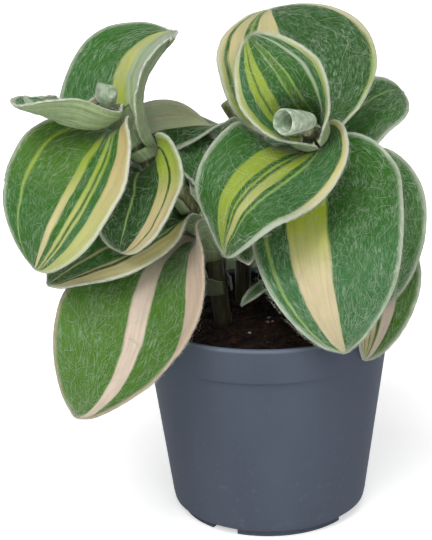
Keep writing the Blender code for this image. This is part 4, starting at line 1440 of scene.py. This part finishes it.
class TRADESCANTIA_OT_stage(bpy.types.Operator):
    """Set the pale floor, the soft lights, the sky and the camera."""

    bl_idname = "tradescantia.stage"
    bl_label = "Make Stage"
    bl_options = {"REGISTER", "UNDO"}

    def execute(self, context):
        scene = context.scene
        settings = scene.tradescantia_stage
        self.floor(settings)
        self.sky(scene, settings)
        for name, spot in LAMPS.items():
            self.lamp(name, spot, getattr(settings, name))
        cam = loose_object("camera", bpy.data.cameras.new("camera"))
        cam.data.lens = settings.lens
        cam.data.sensor_width = SENSOR_WIDTH
        cam.data.clip_start = CLIP_START
        pitch = math.radians(CAMERA_PITCH)
        roll = math.radians(CAMERA_ROLL)
        forward = Vector((0, math.cos(pitch), -math.sin(pitch)))
        flat = Vector((1, 0, 0))
        up = flat.cross(forward)
        right = math.cos(roll) * flat + math.sin(roll) * up
        up = math.cos(roll) * up - math.sin(roll) * flat
        place = Matrix((right, up, -forward)).transposed().to_4x4()
        place.translation = Vector(CAMERA_PLACE)
        cam.matrix_world = place
        scene.camera = cam
        scene.view_settings.view_transform = "Standard"
        return {"FINISHED"}

    def floor(self, settings):
        """Pale floor that fades to the background's white and keeps the plant's shadow."""
        bm = bmesh.new()
        bmesh.ops.create_grid(bm, x_segments=2, y_segments=2, size=4000)
        mesh = mesh_from(bm, "floor")
        mat, node = new_material("pale_floor")
        seen = seen_directly(node)
        # The far floor gets less of the lamps' light, so it is lifted more.
        place = node("TexCoord").outputs["Object"]
        away = node("VectorMath", [place], operation="LENGTH")
        far = node("MapRange", [away, 0.05, 0.2, 0.5, 1.0])
        lift = node("Math", [seen, far], operation="MULTIPLY")
        shader = node(
            "BsdfPrincipled",
            {"Base Color": settings.floor, "Roughness": 1.0, "Specular IOR Level": 0.0,
             "Emission Color": (1.0, 1.0, 1.0, 1.0), "Emission Strength": lift},
        )
        node("OutputMaterial", {"Surface": shader})
        mesh.materials.append(mat)
        loose_object("floor", mesh)

    def sky(self, scene, settings):
        """World that lights the plant softly and looks white where it is seen."""
        world = bpy.data.worlds.new("studio")
        world.use_nodes = True
        world.node_tree.nodes.clear()
        node = partial(add_node, world.node_tree)
        seen = seen_directly(node)
        strength = node("Mix", {"Factor": seen, "A": settings.ambient, "B": 1.0}, data_type="FLOAT")
        background = node("Background", {"Color": (1, 1, 1, 1), "Strength": strength})
        node("OutputWorld", {"Surface": background})
        scene.world = world

    def lamp(self, name, spot, power):
        """Softbox that looks at the middle of the plant."""
        lamp = loose_object(name, bpy.data.lights.new(name, "AREA"))
        lamp.data.shape = "SQUARE"
        lamp.data.size = LAMP_SIZE
        lamp.data.energy = power
        lamp.location = spot
        aim = Vector(LAMP_TARGET) - Vector(spot)
        lamp.rotation_euler = aim.to_track_quat("-Z", "Y").to_euler()


class TRADESCANTIA_PT_panel(bpy.types.Panel):
    """Settings and steps of the potted tradescantia."""

    bl_idname = "TRADESCANTIA_PT_panel"
    bl_label = "Potted Tradescantia"
    bl_space_type = "VIEW_3D"
    bl_region_type = "UI"
    bl_category = "Tradescantia"

    def draw(self, context):
        for step in STEPS:
            box = self.layout.box()
            group = getattr(context.scene, f"tradescantia_{step}", None)
            if group is not None:
                for prop in group.bl_rna.properties:
                    if not prop.is_readonly and prop.identifier != "name":
                        box.prop(group, prop.identifier)
            box.operator(f"tradescantia.{step}")


STEPS = ("pot", "soil", "stems", "leaves", "buds", "down", "stage")

GROUPS = {
    "pot": PotSettings,
    "soil": SoilSettings,
    "leaves": LeafSettings,
    "down": DownSettings,
    "stage": StageSettings,
}

CLASSES = (
    *GROUPS.values(),
    TRADESCANTIA_OT_pot,
    TRADESCANTIA_OT_soil,
    TRADESCANTIA_OT_stems,
    TRADESCANTIA_OT_leaves,
    TRADESCANTIA_OT_buds,
    TRADESCANTIA_OT_down,
    TRADESCANTIA_OT_stage,
    TRADESCANTIA_PT_panel,
)


def register():
    """Make the settings, steps and panel known to Blender."""
    for cls in CLASSES:
        bpy.utils.register_class(cls)
    for name, group in GROUPS.items():
        setattr(bpy.types.Scene, f"tradescantia_{name}", PointerProperty(type=group))


def unregister():
    """Take them out again."""
    for name in GROUPS:
        delattr(bpy.types.Scene, f"tradescantia_{name}")
    for cls in reversed(CLASSES):
        bpy.utils.unregister_class(cls)


def main():
    """Run every step in turn."""
    register()
    for step in STEPS:
        getattr(bpy.ops.tradescantia, step)()


if __name__ == "__main__":
    main()
